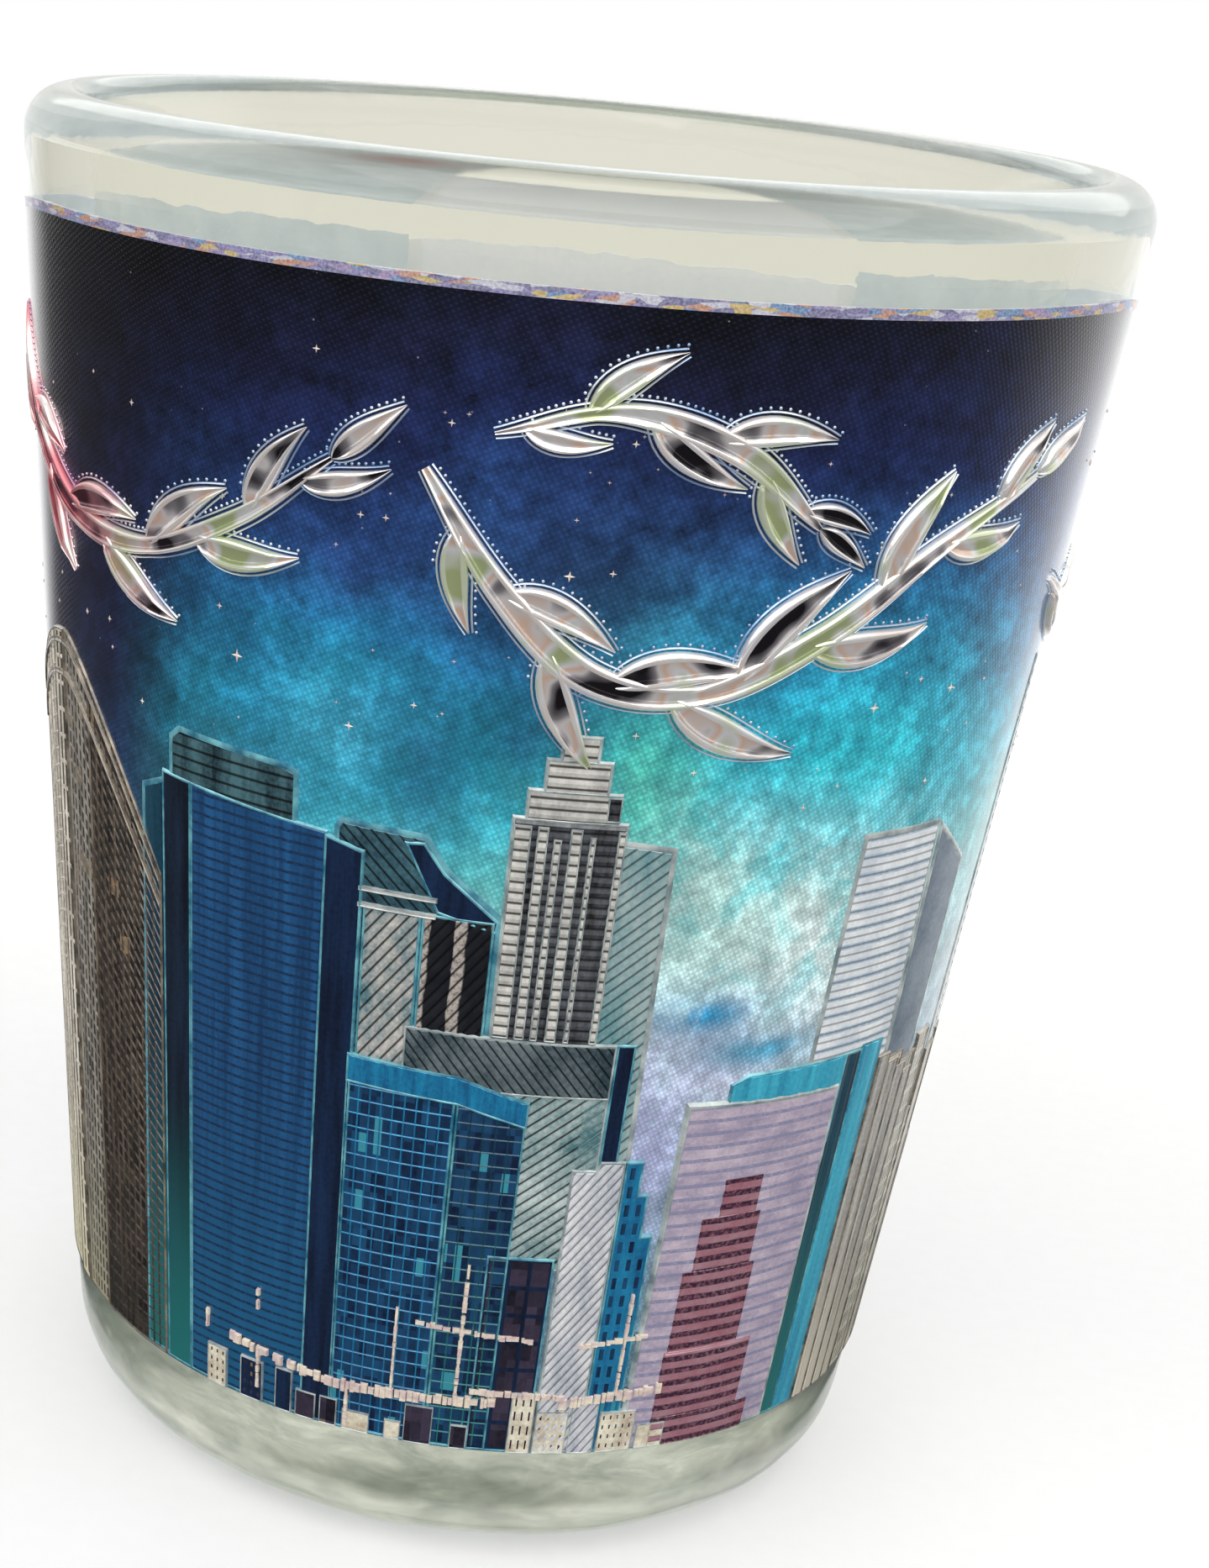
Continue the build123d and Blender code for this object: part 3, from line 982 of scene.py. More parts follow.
def blue_slab():
    """Dark blue curtain-wall slab with a plant room on its roof."""
    plant_room = [(-39.5, 33.5), (-22.2, 33.5), (-22.2, 35.9), (-24, 36.1), (-38, 36.3), (-39.5, 35.8)]
    building("tower_slab_plant_room", plant_room, BACK_ROW, "blue_line slab_top",
             ridged(0, 0.5, 0.03), WIDE_RIM)
    building("tower_slab_side", [(-45.2, FOOT), (-40, FOOT), (-40, 33.9), (-44.2, 33.2)], BACK_ROW,
             "blue_line teal", ridged(0, 0.5, 0.012), WIDE_RIM)
    panels = [
        ("left_bay", -40.6, -36.0, 34.2, 34.1, MIDDLE_ROW, "bay_navy"),
        ("front", -36.2, -18.6, 34.1, 33.7, MIDDLE_ROW, "slab_blue"),
        ("edge", -19.0, -14.4, 33.6, 33.2, FRONT_ROW, "navy"),
    ]
    for name, left, right, left_top, right_top, row, tone in panels:
        building("tower_slab_" + name, shed(left, right, FOOT, left_top, right_top), row,
                 "blue_line " + tone, ridged(0, 0.45, 0.012))


def sloped_tower():
    """Dark block with a roof that falls to the right, louvred faces and two bright bars."""
    body = [(-18.0, FOOT), (0.4, FOOT), (0.4, 31.2), (-5.6, 33.0), (-8.0, 34.3), (-17.4, 34.4),
            (-18.0, 34.0)]
    roof = [(-6.5, 31.0), (0.0, 30.4), (0.2, 31.0), (-5.8, 32.8), (-8.2, 34.0), (-10.5, 33.9)]
    building("tower_sloped_body", body, BACK_ROW, "blue_line roof_hatch", ridged(-42, 0.40, 0.03),
             WIDE_RIM)
    building("tower_sloped_dark_face", roof, MIDDLE_ROW, "blue_line navy")
    building("tower_sloped_left_louvre", box(-14.4, -7.9, 24.0, 30.9), MIDDLE_ROW,
             "blue_line silver_left", ridged(52, 0.42, 0.06))
    building("tower_sloped_columns", box(-8.0, -0.2, 24.0, 31.0), MIDDLE_ROW,
             "blue_line striped_silver", ridged(52, 0.42, 0.05))
    for number, z in enumerate((31.45, 30.75)):
        building(f"tower_sloped_bar_{number}", box(-15.0, -6.4, z, z + 0.26), FRONT_ROW,
                 "line silver", rim=(0.04, 0.03, 0.02))


def stepped_tower():
    """Tower that narrows in steps, with bright louvred bays over a dark core."""
    narrow = (0.05, 0.03, 0.02)
    tiers = [(0.2, 12.0, 25.5, 35.6, "louvre_dark"), (1.4, 11.0, 35.4, 36.8, "silver_level"),
             (2.9, 9.6, 36.6, 38.1, "silver_level"), (4.2, 8.2, 37.9, 39.1, "silver_level")]
    for number, (left, right, bottom, top, tone) in enumerate(tiers):
        building(f"tower_stepped_tier_{number}", box(left, right, bottom, top), MIDDLE_ROW,
                 "line " + tone, ridged(0, 0.45, 0.06))
    bays = [(0.4, 2.4, 35.3), (2.8, 4.1, 35.3), (4.5, 5.5, 34.8), (6.1, 7.5, 35.3), (8.1, 8.9, 35.0),
            (10.9, 11.9, 35.3)]
    for number, (left, right, top) in enumerate(bays):
        building(f"tower_stepped_bay_{number}", box(left, right, 25.95, top), FRONT_ROW,
                 "line silver_level", ridged(0, 0.45, 0.07), narrow)
    building("tower_stepped_shaded_side", box(9.4, 11.0, 35.6, 36.7), FRONT_ROW,
             "line louvre_dark", ridged(0, 0.45, 0.05), narrow)


def middle_blocks():
    """Podium, blue grid block and the slim blocks in front of the stepped tower."""
    building("tower_pale_back", [(11.0, 17.0), (18.2, 17.0), (17.4, 34.6), (11.0, 34.9)], BACK_ROW,
             "line pale_hatch", ridged(40, 0.42, 0.03), WIDE_RIM)
    podium = [(5.0, 15.2), (14.4, 15.2), (14.4, 26.0), (-9.0, 26.0), (-9.0, 22.6), (5.0, 22.6)]
    building("podium_body", podium, BACK_ROW + 0.02, "line podium_hatch", ridged(38, 0.42, 0.05))
    building("podium_crown", box(-9.0, 14.4, 23.4, 26.0), FRONT_ROW, "line crown_hatch",
             ridged(-48, 0.36, 0.04))
    building("podium_edge", box(14.2, 16.6, 16.5, 26.0), MIDDLE_ROW, "blue_line navy")
    building("grid_block_left_face", shed(-15.2, -2.4, FOOT, 23.6, 23.4), FRONT_ROW,
             "blue_line bright_blue pane_blue", paned(9, 27, 0.035))
    building("grid_block_right_face", shed(-2.5, 5.6, FOOT, 23.4, 22.6), FRONT_ROW,
             "blue_line teal pane_blue", paned(5, 27, 0.035))
    crown = [(-15.2, 22.9), (-2.4, 22.7), (5.7, 21.9), (5.7, 23.2), (-2.4, 24.1), (-15.2, 24.3)]
    building("grid_block_crown", crown, FRONT_ROW + 0.05, "blue_line bright_blue",
             ridged(90, 0.55, 0.02))
    building("dark_block", box(2.8, 11.0, FOOT, 15.9), FRONT_ROW, "blue_line navy pane_black",
             paned(3, 7, 0.1))
    white = [(11.2, FOOT), (17.6, FOOT), (17.6, 20.6), (14.5, 20.6), (14.0, 20.2), (11.2, 20.2)]
    building("slim_white_block", white, FRONT_ROW, "line white_hatch", ridged(52, 0.36, 0.05))
    steps = [(22.4, 17.0), (21.0, 17.0), (21.0, 19.0), (19.8, 19.0), (19.8, 20.6), (17.4, 20.6)]
    building("slim_blue_block", [(17.4, FOOT), (22.4, FOOT)] + steps, FRONT_ROW,
             "blue_line bright_blue pane_blue", paned(3, 16, 0.17))


def right_towers():
    """Lavender slab, teal roof, cyan column and the white tower with its shaded side."""
    building("tower_white_front", [(39.2, 20.0), (54.6, 20.0), (53.0, 34.6), (39.9, 34.7)], BACK_ROW,
             "line white", ridged(0, 0.40, 0.04), WIDE_RIM)
    building("tower_white_side", [(54.4, 20.0), (62.2, 20.0), (61.6, 32.2), (53.2, 34.5)], BACK_ROW,
             "line violet_grey", ridged(0, 0.5, 0.02), WIDE_RIM)
    roof = [(28.8, 20.0), (46.0, 20.0), (46.0, 24.4), (31.0, 24.3), (28.8, 23.9)]
    building("teal_roof_block", roof, MIDDLE_ROW, "blue_line cyan", ridged(90, 1.2, 0.04))
    building("cyan_column_left", box(45.4, 48.6, FOOT, 24.4), MIDDLE_ROW, "blue_line teal",
             ridged(90, 0.6, 0.04))
    building("cyan_column_right", box(48.2, 52.6, FOOT, 24.6), MIDDLE_ROW, "blue_line cyan",
             ridged(90, 0.8, 0.05))
    building("lavender_slab", [(22.6, FOOT), (46.0, FOOT), (45.6, 23.0), (23.6, 23.2)], FRONT_ROW,
             "line lavender", ridged(0, 0.62, 0.035), WIDE_RIM)
    terraces = [(26.8, 42.0, FOOT, 7.6), (26.8, 40.0, 7.5, 11.0), (27.2, 37.6, 10.9, 15.0),
                (28.4, 36.8, 14.9, 17.6), (30.6, 36.0, 17.5, 19.4)]
    for number, terrace in enumerate(terraces):
        building(f"wine_terrace_{number}", box(*terrace), FRONT_ROW + 0.03, "wine wine",
                 ridged(0, 0.62, 0.04), (0.04, 0.02, 0.02))
    for number, azimuth in enumerate((52.4, 55.0, 57.6, 60.2)):
        building(f"grey_column_{number}", box(azimuth, azimuth + 2.9, FOOT, 23.6 - 0.5 * number),
                 MIDDLE_ROW + 0.05, "tan_line grey_brown", ridged(90, 0.5, 0.04))


def beige_blocks(rng):
    """Small pale blocks, in steps, towards the right of the picture."""
    azimuth = 55.0
    number = 0
    while azimuth < 84:
        width = rng.uniform(3.0, 5.5)
        top = rng.uniform(20.5, 25.6) if azimuth < 66 else rng.uniform(14.0, 24.0)
        building(f"beige_block_{number}", box(azimuth, azimuth + width, FOOT, top),
                 MIDDLE_ROW + 0.012 * (number % 3), "tan_line beige pane_tan",
                 paned(max(2, round(width)), round(top / 1.3), 0.12))
        azimuth += width - 0.6
        number += 1
    mast = [(69.5, FOOT), (74.0, FOOT), (73.0, 36.5), (72.3, 40.5), (71.3, 40.5), (70.6, 36.5)]
    building("slender_mast", mast, BACK_ROW - 0.01, "line crown_hatch", ridged(-48, 0.36, 0.02))


def street(rng):
    """Low lit buildings along the foot, with streaks of traffic and lamp light over them."""
    houses = [(8.0, 11.2, 9.2, "warm"), (11.3, 15.6, 8.3, "warm"), (15.8, 19.4, 8.9, "white_hatch"),
              (19.6, 24.6, 8.2, "warm"), (24.9, 29.0, 7.4, "warm")]
    azimuth = -33.0
    while azimuth < 5:
        width = rng.uniform(2.0, 4.0)
        tone = rng.choice(["navy", "pane_black", "warm", "warm"])
        houses.append((azimuth, azimuth + width, rng.uniform(6.9, 8.4), tone))
        azimuth += width + rng.uniform(0.2, 2.2)
    for number, (left, right, top, tone) in enumerate(houses):
        building(f"street_house_{number}", box(left, right, FOOT, top), FRONT_ROW + 0.05,
                 f"line {tone} pane_black", paned(max(3, round(right - left)), 4, 0.14, 0.03),
                 (0.04, 0.03, 0.02))
    streaks = [
        (-29, 8.9, -14, 8.3, 0.24), (-14, 8.3, 6.5, 8.6, 0.27), (3, 9.1, 15, 9.0, 0.16),
        (14.5, 8.7, 27.5, 9.2, 0.26), (-4.5, 12.2, 9.5, 11.8, 0.13), (15.5, 11.6, 24, 12.0, 0.12),
        (-25, 8.6, -25, 6.9, 0.12), (-12.6, 8.3, -12.6, 6.3, 0.12), (-7.0, 12.6, -7.0, 8.4, 0.09),
        (1.0, 15.2, 1.0, 8.4, 0.12), (21.2, 13.9, 21.2, 8.9, 0.10), (-25.2, 11.6, -25.2, 10.9, 0.10),
        (-33, 9.6, -33, 8.9, 0.10),
    ]
    lights = bmesh.new()
    for start_azimuth, start_z, end_azimuth, end_z, thick in streaks:
        start = Vector((start_azimuth * DEGREE_MM, start_z))
        light_streak(lights, rng, start, Vector((end_azimuth * DEGREE_MM, end_z)), thick)
    add_artwork("street_lights", lights, [INK["glow"]])


def light_streak(bm, rng, a, b, thick):
    """An uneven bar of small lit blocks between two flat points."""
    upright = abs(b.y - a.y) > abs(b.x - a.x)
    travelled = 0.0
    while travelled < (b - a).length:
        run = rng.uniform(0.12, 0.45)
        x, y = a.lerp(b, travelled / (b - a).length)
        half_long = run * 0.55
        half_thick = thick * rng.uniform(0.6, 1.15)
        half_x, half_y = (half_thick, half_long) if upright else (half_long, half_thick)
        low = SHEET_OUTER + FRONT_ROW - 0.06
        high = SHEET_OUTER + FRONT_ROW + rng.uniform(0.06, 0.10)
        block(bm, x, y + rng.uniform(-0.04, 0.04), half_x, half_y, low, high)
        travelled += run if rng.random() < 0.93 else 1.5 * run


def block(bm, x, y, half_x, half_y, low, high):
    """A small box on the label, with its upper edges sloped."""
    signs = [(-1, -1), (1, -1), (1, 1), (-1, 1)]
    slope = 0.25 * min(half_x, half_y)
    foot = [bm.verts.new((x + i * half_x, y + j * half_y, low)) for i, j in signs]
    crown = []
    for i, j in signs:
        crown.append(bm.verts.new((x + i * (half_x - slope), y + j * (half_y - slope), high)))
    bm.faces.new(list(reversed(foot)))
    bm.faces.new(crown)
    band(bm, foot, crown)


def roof_outline(rng, left, right, top):
    """A tower's outline with one of four roof shapes: flat, stepped, centred crown or slanted."""
    width = right - left
    low = top - min(2.4, 0.35 * (top - FOOT))
    shape = rng.randrange(4)
    if shape == 1:
        step = left + 0.55 * width
        crown = [(right, low), (step, low), (step, top), (left, top)]
    elif shape == 2:
        first, last = left + 0.25 * width, right - 0.25 * width
        crown = [(right, low), (last, low), (last, top), (first, top), (first, low), (left, low)]
    elif shape == 3:
        crown = [(right, low), (left, top)]
    else:
        crown = [(right, top), (left, top)]
    return [(left, FOOT), (right, FOOT)] + crown


def rear_row(rng, name, span, widths, tops, tones, row):
    """One row of assorted towers between two azimuths."""
    azimuth = span[0]
    number = 0
    while azimuth < span[1] - widths[0]:
        width = min(rng.uniform(*widths), span[1] - azimuth)
        top = rng.uniform(*tops)
        style = rng.randrange(3)
        tone = rng.choice(tones)
        if style == 0:
            relief = paned(max(3, round(width * 0.9)), round(top * 0.9), 0.07)
        elif style == 1:
            relief = ridged(rng.choice((0, 40, -48)), 0.42, 0.04)
        else:
            relief = ridged(90, 0.6, 0.03)
        building(f"{name}_{number}", roof_outline(rng, azimuth, azimuth + width, top), row,
                 f"line {tone} pane_blue", relief)
        azimuth += width + rng.uniform(-0.5, 0.9)
        number += 1


def rear_towers(rng):
    """The skyline goes on round both sides of the label, towards its two ends."""
    far = ["slab_blue", "podium_hatch", "navy", "violet_grey", "teal", "crown_hatch"]
    near = ["bright_blue", "pale_hatch", "lavender", "masonry", "white_hatch", "silver_level",
            "cyan"]
    low = ["navy", "slab_blue", "grey_brown", "warm"]
    rows = [("far", (5.0, 10.0), (26.0, 37.5), far, BACK_ROW),
            ("near", (5.0, 11.0), (15.0, 28.0), near, MIDDLE_ROW),
            ("low", (3.0, 8.0), (8.0, 12.0), low, MIDDLE_ROW + 0.03)]
    for side, span in (("right", (84.0, LABEL_END - 2.8)), ("left", (LABEL_START + 2.8, -80.0))):
        for name, widths, tops, tones, row in rows:
            rear_row(rng, f"rear_{side}_{name}", span, widths, tops, tones, row)


def stars(rng):
    """Small four-pointed stars scattered over the sky."""
    bm = bmesh.new()
    places = [(-47, 41.7, 0.30), (-30, 40.0, 0.34), (-17, 38.2, 0.24), (3, 45.3, 0.26),
              (15, 40.5, 0.34), (37, 40.2, 0.30), (48, 40.6, 0.26), (-22, 52.6, 0.2), (1, 51.4, 0.2)]
    for _ in range(170):
        azimuth = rng.uniform(LABEL_START + 3, LABEL_END - 3)
        places.append((azimuth, rng.uniform(35.5, 51.0), rng.choice((0.08, 0.10, 0.12, 0.18))))
    for azimuth, z, size in places:
        ring = []
        for k in range(8):
            reach = size if k % 2 == 0 else size * 0.3
            turn = math.pi * k / 4
            x = azimuth * DEGREE_MM + reach * math.cos(turn)
            ring.append(bm.verts.new((x, z + reach * math.sin(turn), SHEET_OUTER - 0.01)))
        tip = bm.verts.new((azimuth * DEGREE_MM, z, SHEET_OUTER + 0.05))
        bm.faces.new(list(reversed(ring)))
        for k in range(8):
            bm.faces.new([ring[k], ring[(k + 1) % 8], tip])
    add_artwork("sky_stars", bm, [INK["glow"]])


# ---------------------------------------------------------------- leafy scrollwork

# Half of a stroke's section, as (share of the half width, share of the height)
STROKE_HALF = [(0.0, 0.60), (0.28, 0.66), (0.52, 0.84), (0.66, 1.0), (0.82, 0.94), (0.94, 0.62),
               (1.0, 0.0)]
STROKE_SECTION = [(-s, h) for s, h in reversed(STROKE_HALF)] + STROKE_HALF[1:]
HAIR_SECTION = [(-1.0, 0.0), (-0.5, 0.8), (0.0, 1.0), (0.5, 0.8), (1.0, 0.0)]
HOLLOW = 0.55              # share of the half width that lies between a stroke's raised edges
STROKE_HEIGHT = 0.30
HAIR_WIDTH = 0.09
HAIR_GAP = 0.13
PEN_ANGLE = 12.0


def curve_through(knots, per_span=18):
    """Smooth line through (azimuth, z) knots."""
    places = [Vector((azimuth * DEGREE_MM, z)) for azimuth, z in knots]
    places = [2 * places[0] - places[1]] + places + [2 * places[-1] - places[-2]]
    points = []
    for a, b, c, d in zip(places, places[1:], places[2:], places[3:]):
        for k in range(per_span):
            t = k / per_span
            bend = (2 * a - 5 * b + 4 * c - d) * t * t + (3 * b - a - 3 * c + d) * t ** 3
            points.append((2 * b + (c - a) * t + bend) / 2)
    points.append(places[-2])
    return points


def heading(points, k):
    """Unit direction of a line of points at one of them."""
    return (points[min(k + 1, len(points) - 1)] - points[max(k - 1, 0)]).normalized()


def left_of(direction):
    """The direction, turned a quarter turn to the left."""
    return Vector((-direction.y, direction.x))


def pen_widths(points, widest):
    """Broad-pen stroke: swells in the middle and thins where it runs along the pen's edge."""
    widths = []
    for k in range(len(points)):
        along = heading(points, k)
        slope = math.atan2(along.y, along.x) - math.radians(PEN_ANGLE)
        swell = math.sin(math.pi * (0.04 + 0.92 * k / (len(points) - 1))) ** 0.8
        widths.append(widest * swell * (0.45 + 0.55 * abs(math.sin(slope))))
    return widths


def ribbon(bm, points, widths, height, section):
    """Sweeps a raised section along a line. The hollow between its edges gets material 1."""
    rings = []
    ring = [(-1.0, None)] + section + [(1.0, None)]
    for k, p in enumerate(points):
        across = left_of(heading(points, k)) * (widths[k] / 2)
        tall = height * min(1.0, widths[k] / 0.7)
        made = []
        for s, h in ring:
            x, y = p + across * s
            made.append(bm.verts.new((x, y, ART_FOOT if h is None else SHEET_OUTER + h * tall)))
        rings.append(made)
    for a, b in zip(rings, rings[1:]):
        for face, (s, _), (t, _) in zip(band(bm, a, b), ring, ring[1:] + ring[:1]):
            if max(abs(s), abs(t)) < HOLLOW:
                face.material_index = 1
    bm.faces.new(rings[0])
    bm.faces.new(list(reversed(rings[-1])))


def bead(bm, x, y, size):
    """One small raised dot on the sheet."""
    rings = []
    for reach, rise in ((1.0, 0.0), (0.8, 0.6), (0.4, 0.92)):
        ring = []
        for k in range(6):
            turn = math.pi * k / 3
            place = (x + size * reach * math.cos(turn), y + size * reach * math.sin(turn),
                     SHEET_OUTER - 0.01 + size * rise)
            ring.append(bm.verts.new(place))
        rings.append(ring)
    bm.faces.new(list(reversed(rings[0])))
    for low, high in zip(rings, rings[1:]):
        band(bm, low, high)
    bm.faces.new(rings[-1])


def stroke(work, points, widths):
    """One chrome stroke, with a hairline along both sides and beads above it."""
    bold, fine, beads = work
    ribbon(bold, points, widths, STROKE_HEIGHT, STROKE_SECTION)
    for side in (-1, 1):
        beside = []
        for k, p in enumerate(points):
            beside.append(p + left_of(heading(points, k)) * side * (widths[k] / 2 + HAIR_GAP))
        ribbon(fine, beside, [HAIR_WIDTH] * len(beside), 0.5, HAIR_SECTION)
        travelled = 0.0
        for a, b in zip(beside, beside[1:]):
            travelled += (b - a).length
            if travelled > 0.24 and side * (b - a).x > 0:
                travelled = 0.0
                outward = left_of(b - a).normalized() * side
                bead(beads, *(b + outward * 0.14), 0.07)


def leaf(work, root, along, across, length):
    """A pointed leaf that bends from the stem towards its tip."""
    points, widths = [], []
    for k in range(15):
        t = k / 14
        ahead = length * (0.66 * t + 0.26 * t * t)
        aside = length * (0.66 * t - 0.24 * t * t)
        points.append(root + along * ahead + across * aside)
        widths.append(0.05 + 0.25 * length * math.sin(math.pi * t ** 0.8))
    stroke(work, points, widths)


def spray(work, knots, widest, leaves, leaf_length):
    """A stem through (azimuth, z) knots, with leaves to both sides and one at its tip."""
    stem = curve_through(knots)
    stroke(work, stem, pen_widths(stem, widest))
    last = len(stem) - 1
    for number in range(leaves):
        share = 0.07 + 0.86 * number / (leaves - 1)
        k = round(share * last)
        along = heading(stem, k)
        side = 1 if number % 2 else -1
        length = leaf_length * (0.6 + 0.4 * math.sin(math.pi * share))
        leaf(work, stem[k], along, left_of(along) * side, length)
    leaf(work, stem[last], heading(stem, last), Vector((0.0, 0.2)), 0.7 * leaf_length)


def build_scrollwork():
    """Chrome leaf sprays across the sky, each stroke with hairlines and a beaded upper edge."""
    # The raised edges are painted highlight and painted reflection: silver, peach, white and lime, with
    # red at the left end.
    edges = chrome_material("chrome_edges", [
        (0.36, (0.84, 0.82, 0.84)),
        (0.46, (0.95, 0.86, 0.80)),
        (0.52, (0.95, 0.95, 0.96)),
        (0.62, (0.78, 0.84, 0.62)),
    ], [(0.40, (0.62, 0.14, 0.18)), (0.50, (0.92, 0.50, 0.50)), (0.62, (0.95, 0.86, 0.84))])
    # The hollows get painted shade, down to black, among painted reflections of white, peach and lime,
    # with red at the left end.
    hollows = chrome_material("chrome_hollows", [
        (0.38, (0.012, 0.010, 0.014)),
        (0.44, (0.30, 0.28, 0.30)),
        (0.48, (0.84, 0.80, 0.80)),
        (0.53, (0.88, 0.62, 0.48)),
        (0.57, (0.90, 0.90, 0.92)),
        (0.64, (0.50, 0.58, 0.30)),
    ], [(0.40, (0.08, 0.006, 0.02)), (0.50, (0.56, 0.05, 0.10)), (0.60, (0.88, 0.46, 0.44))])
    # The hairlines' tones drift from blue to pale, with a painted red reflection at the left end.
    hairline = chrome_material("chrome_hairline", [
        (0.35, (0.26, 0.40, 0.62)),
        (0.65, (0.80, 0.84, 0.88)),
    ], [(0.35, (0.40, 0.16, 0.30)), (0.65, (0.84, 0.60, 0.62))])
    sprays = [
        ([(-78, 50.8), (-69, 46.8), (-57, 43.8), (-43, 43.4), (-30, 45.6), (-20, 48.6)], 1.7, 9, 5.4),
        ([(-11, 48.8), (-3, 44.4), (6, 41.4), (17, 41.0), (29, 43.4), (41, 46.8), (54, 49.2)],
         1.9, 10, 6.0),
        ([(-5, 50.4), (6, 51.6), (17, 50.4), (26, 47.6)], 1.5, 6, 4.6),
        ([(66, 44.2), (76, 42.8), (90, 44.0), (104, 47.6), (118, 48.4), (130, 46.4)], 1.6, 9, 5.2),
        ([(-152, 44.4), (-140, 42.8), (-126, 44.2), (-112, 47.6), (-98, 49.0), (-86, 46.6)],
         1.6, 9, 5.2),
    ]
    work = [bmesh.new(), bmesh.new(), bmesh.new()]
    for knots, widest, leaves, leaf_length in sprays:
        spray(work, knots, widest, leaves, leaf_length)
    finishes = {"scrollwork": [edges, hollows], "scrollwork_hairline": [hairline],
                "scrollwork_beading": [hairline]}
    for bm, (name, materials) in zip(work, finishes.items()):
        add_artwork(name, bm, materials, sharp=50)


# ---------------------------------------------------------------- studio

PHOTO_CAMERA = Vector((0.0, -118.848, 67.246)) * MM
PHOTO_RIGHT = Vector((0.99101473, 0.10700007, 0.08025451))
PHOTO_UP = Vector((-0.1089985, 0.29831737, 0.94822259))
LENS = 60.8
SENSOR = 36.0
SHIFT = 0.19               # the photo's optical axis is left of the middle of its frame
AMBIENT = (0.42, 0.42, 0.43)
INSIDE_LIGHT = (2.2, 2.2, 2.2)     # light that reaches the paper and the label's back through glass


def build_camera():
    """The photo's viewpoint. The sideways lens shift holds only there, not for other views."""
    data = bpy.data.cameras.new("photo_camera")
    camera = bpy.data.objects.new("photo_camera", data)
    bpy.context.scene.collection.objects.link(camera)
    back = PHOTO_RIGHT.cross(PHOTO_UP).normalized()
    rotation = Matrix((PHOTO_RIGHT, PHOTO_UP, back)).transposed().to_4x4()
    camera.matrix_world = Matrix.Translation(PHOTO_CAMERA) @ rotation
    data.lens = LENS
    data.sensor_width = SENSOR
    data.clip_start = 0.005
    data.clip_end = 20.0
    driver = data.driver_add("shift_x").driver
    place = driver.variables.new()
    place.name = "y"
    place.type = "TRANSFORMS"
    place.targets[0].id = camera
    place.targets[0].transform_type = "LOC_Y"
    driver.expression = f"{SHIFT} if abs(y - {PHOTO_CAMERA.y}) < 0.0001 else 0.0"
    bpy.context.scene.camera = camera


def build_world():
    """White to the camera, cream through glass, and a bright back half in reflections."""
    world = bpy.data.worlds.new("studio")
    bpy.context.scene.world = world
    world.use_nodes = True
    g = Graph(world.node_tree)
    direction = g.node("TexCoord").outputs["Generated"]
    parts = g.node("SeparateXYZ", {0: direction})
    slanted = g.math("MULTIPLY_ADD", parts.outputs[0], 0.3, parts.outputs[1])
    behind = g.span(slanted, 0.1, 0.6, 0.04, 1.0)
    overhead = g.span(parts.outputs[2], 0.02, 0.5, 0.0, 0.95)
    shine = g.mix(g.math("MAXIMUM", behind, overhead), (0.0, 0.0, 0.0), (1.0, 0.985, 0.94))
    path = g.node("LightPath")
    soft = g.mix(path.outputs["Is Diffuse Ray"], shine, AMBIENT)
    lit = g.math("GREATER_THAN", path.outputs["Diffuse Depth"], 0.5)
    glassy = g.mix(lit, (0.88, 0.87, 0.80), INSIDE_LIGHT)
    past_glass = g.math("GREATER_THAN", path.outputs["Transmission Depth"], 0.5)
    through = g.mix(past_glass, soft, glassy)
    seen = g.mix(path.outputs["Is Camera Ray"], through, (1.0, 1.0, 1.0))
    background = g.node("Background", {"Color": seen, "Strength": 1.0})
    g.node("OutputWorld", {"Surface": background.outputs[0]})


def area_light(name, place, size, power, colour, aim=(0.0, 0.0, 30.0)):
    """A softbox in millimetres, turned towards a point."""
    data = bpy.data.lights.new(name, "AREA")
    data.shape = "RECTANGLE"
    data.size, data.size_y = size[0] * MM, size[1] * MM
    data.energy = power
    data.color = colour
    lamp = bpy.data.objects.new(name, data)
    bpy.context.scene.collection.objects.link(lamp)
    lamp.location = Vector(place) * MM
    towards = (Vector(aim) - Vector(place)).normalized()
    lamp.rotation_mode = "QUATERNION"
    lamp.rotation_quaternion = towards.to_track_quat("-Z", "Y")
    lamp.visible_transmission = False


def floor_reflection():
    """What the label mirrors of the table: dark in front, bright round the back.

    It shows in reflections and nowhere else.
    """
    bm = bmesh.new()
    inner, outer = [], []
    for k in range(96):
        turn = 2 * math.pi * k / 96
        spoke = Vector((math.sin(turn), -math.cos(turn), 0.0))
        inner.append(bm.verts.new(spoke * 21 * MM + Vector((0, 0, 0.3 * MM))))
        outer.append(bm.verts.new(spoke * 600 * MM + Vector((0, 0, 0.3 * MM))))
    for k in range(96):
        ahead = (k + 1) % 96
        bm.faces.new([inner[k], outer[k], outer[ahead], inner[ahead]])
    material, g = new_material("floor_reflection_material")
    place = g.node("SeparateXYZ", {0: g.node("TexCoord").outputs["Object"]})
    turn = g.math("ARCTAN2", place.outputs[0], g.math("MULTIPLY", place.outputs[1], -1.0))
    share = g.math("MULTIPLY_ADD", turn, 0.5 / math.pi, 0.5)
    around = [(-180, 0.9), (-150, 0.8), (-134, 0.05), (-60, 0.04), (60, 0.04), (96, 0.07),
              (112, 0.25), (130, 0.55), (150, 0.9), (180, 1.0)]
    level_light = g.grey_ramp(share, [((a + 180) / 360, v) for a, v in around])
    past_glass = g.math("GREATER_THAN", g.node("LightPath").outputs["Transmission Depth"], 0.5)
    seen = g.mix(past_glass, level_light, (0.56, 0.56, 0.50))
    emission = g.node("Emission", {"Color": seen, "Strength": 1.5})
    g.node("OutputMaterial", {"Surface": emission.outputs[0]})
    card = add_object("floor_reflection", bm, [material])
    for ray in ("camera", "diffuse", "transmission", "volume_scatter", "shadow"):
        setattr(card, "visible_" + ray, False)


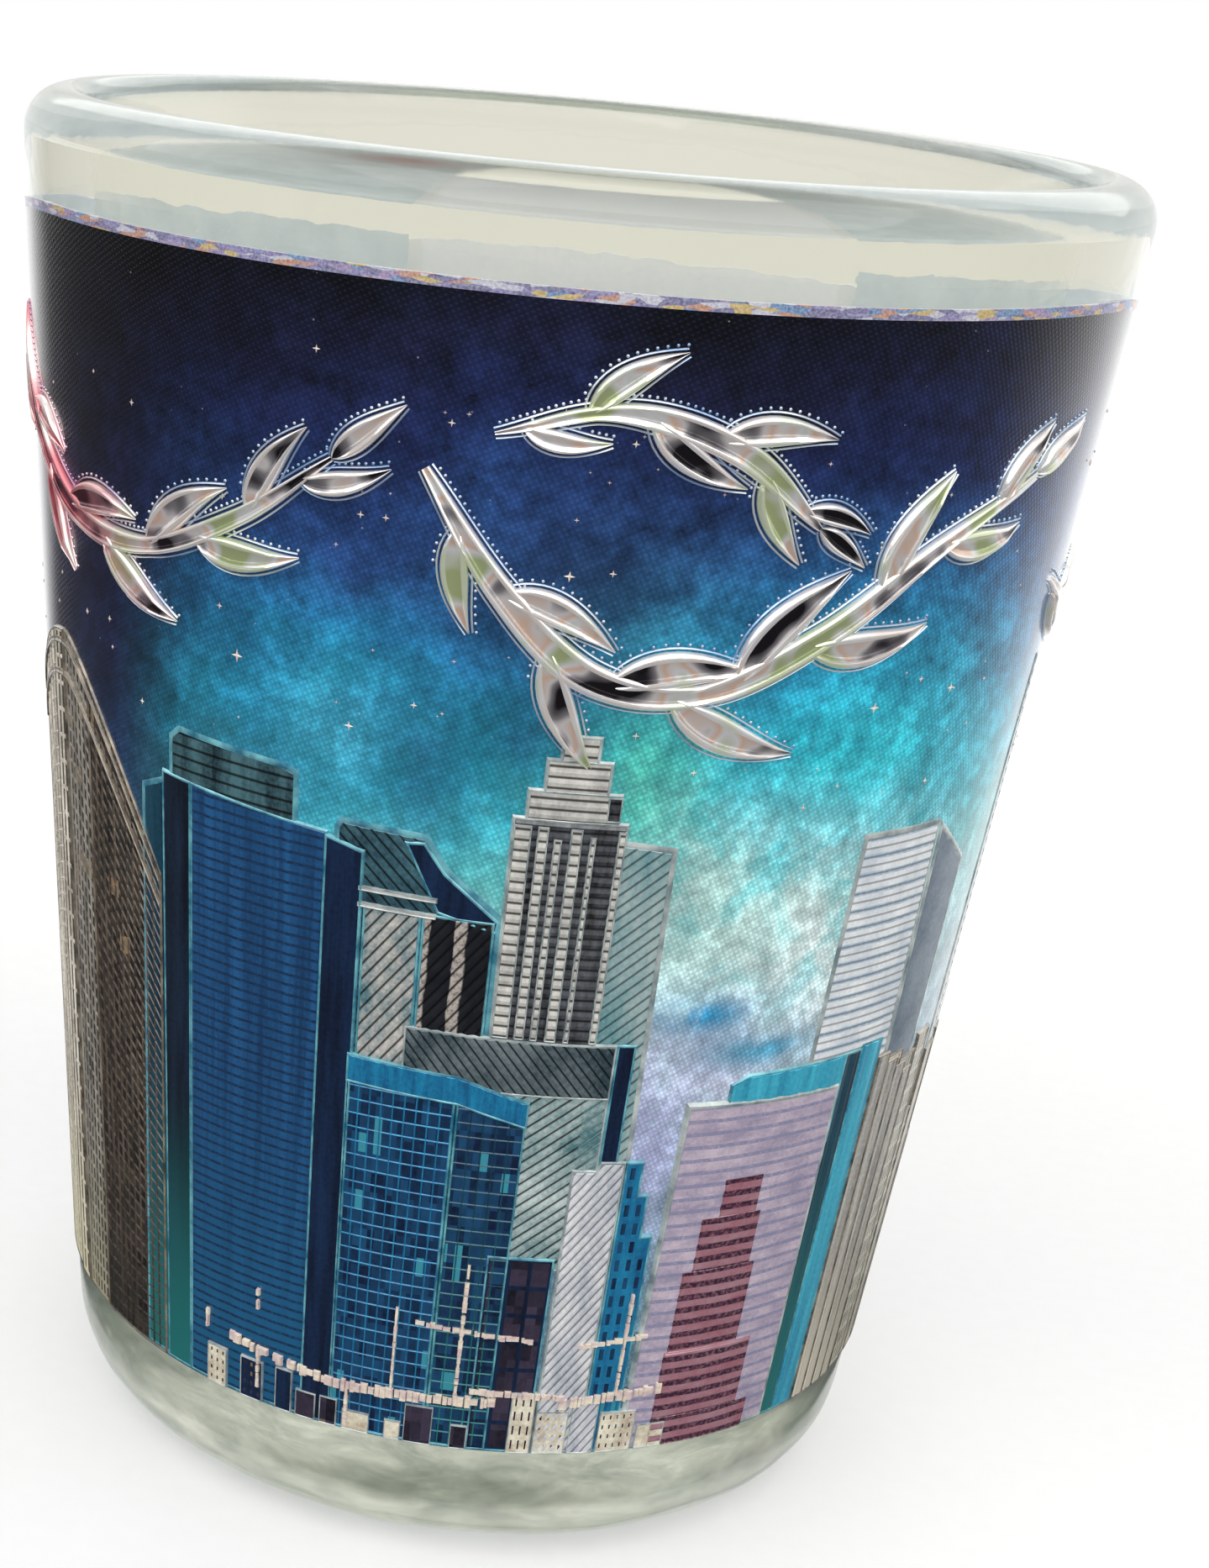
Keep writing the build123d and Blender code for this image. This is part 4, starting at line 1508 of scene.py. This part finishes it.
def build_floor():
    """A wide pale sheet that fades to plain white with distance, so it shows no horizon.

    Seen through the glass it is a creamier emission, with a painted shadow of the glass that darkens it
    close to the foot.
    """
    bm = bmesh.new()
    bmesh.ops.create_circle(bm, cap_ends=True, segments=96, radius=6.0)
    material, g = new_material("floor_paper")
    place = g.node("TexCoord").outputs["Object"]
    reach = g.node("VectorMath", {0: place}, operation="LENGTH").outputs["Value"]
    grain = g.noise(place, 900.0, 3.0)
    tone = g.ramp(grain, [(0.3, (0.905, 0.905, 0.895)), (0.7, (0.925, 0.925, 0.915))])
    paper = g.node("BsdfDiffuse", {"Color": tone})
    white = g.node("Emission", {"Color": (1.0, 1.0, 1.0), "Strength": 1.0})
    far = g.span(reach, 0.05, 0.22, 0.35, 1.0)
    direct = g.node("MixShader", {0: far, 1: paper.outputs[0], 2: white.outputs[0]})
    mottle = g.noise(place, 130.0, 4.0, 0.6)
    cloudy = g.math("MULTIPLY_ADD", g.math("SUBTRACT", mottle, 0.5), 0.02, reach)
    # Seen through the glass, the floor is an emission with a painted shadow of the glass: darker close
    # to the foot.
    through_glass_painted_shadow = g.ramp(g.math("MULTIPLY", cloudy, 10.0), [
        (0.12, (0.50, 0.52, 0.46)),
        (0.30, (0.54, 0.55, 0.49)),
        (0.55, (0.80, 0.79, 0.70)),
    ])
    seen = g.node("Emission", {"Color": through_glass_painted_shadow, "Strength": 1.0})
    through = g.node("LightPath").outputs["Is Transmission Ray"]
    both = g.node("MixShader", {0: through, 1: direct.outputs[0], 2: seen.outputs[0]})
    g.node("OutputMaterial", {"Surface": both.outputs[0]})
    add_object("floor", bm, [material])


def build_studio():
    build_camera()
    build_world()
    build_floor()
    floor_reflection()
    area_light("key_softbox", (120, -420, 560), (1300, 900), 5.3, (1.0, 0.99, 0.97))
    area_light("fill_softbox", (-420, -180, 460), (700, 560), 1.2, (0.97, 0.98, 1.0))
    area_light("back_softbox", (80, 500, 460), (1000, 560), 1.8, (1.0, 0.99, 0.95))
    scene = bpy.context.scene
    scene.view_settings.view_transform = "Standard"
    scene.cycles.max_bounces = 24
    scene.cycles.transmission_bounces = 20
    scene.cycles.glossy_bounces = 16
    scene.cycles.diffuse_bounces = 4


# ---------------------------------------------------------------- build

def build_label():
    build_label_sheets()
    make_inks()
    masonry_tower()
    blue_slab()
    sloped_tower()
    stepped_tower()
    middle_blocks()
    right_towers()
    beige_blocks(random.Random(11))
    street(random.Random(5))
    rear_towers(random.Random(23))
    stars(random.Random(3))
    build_scrollwork()


build_glass()
build_label()
build_sticker()
build_studio()
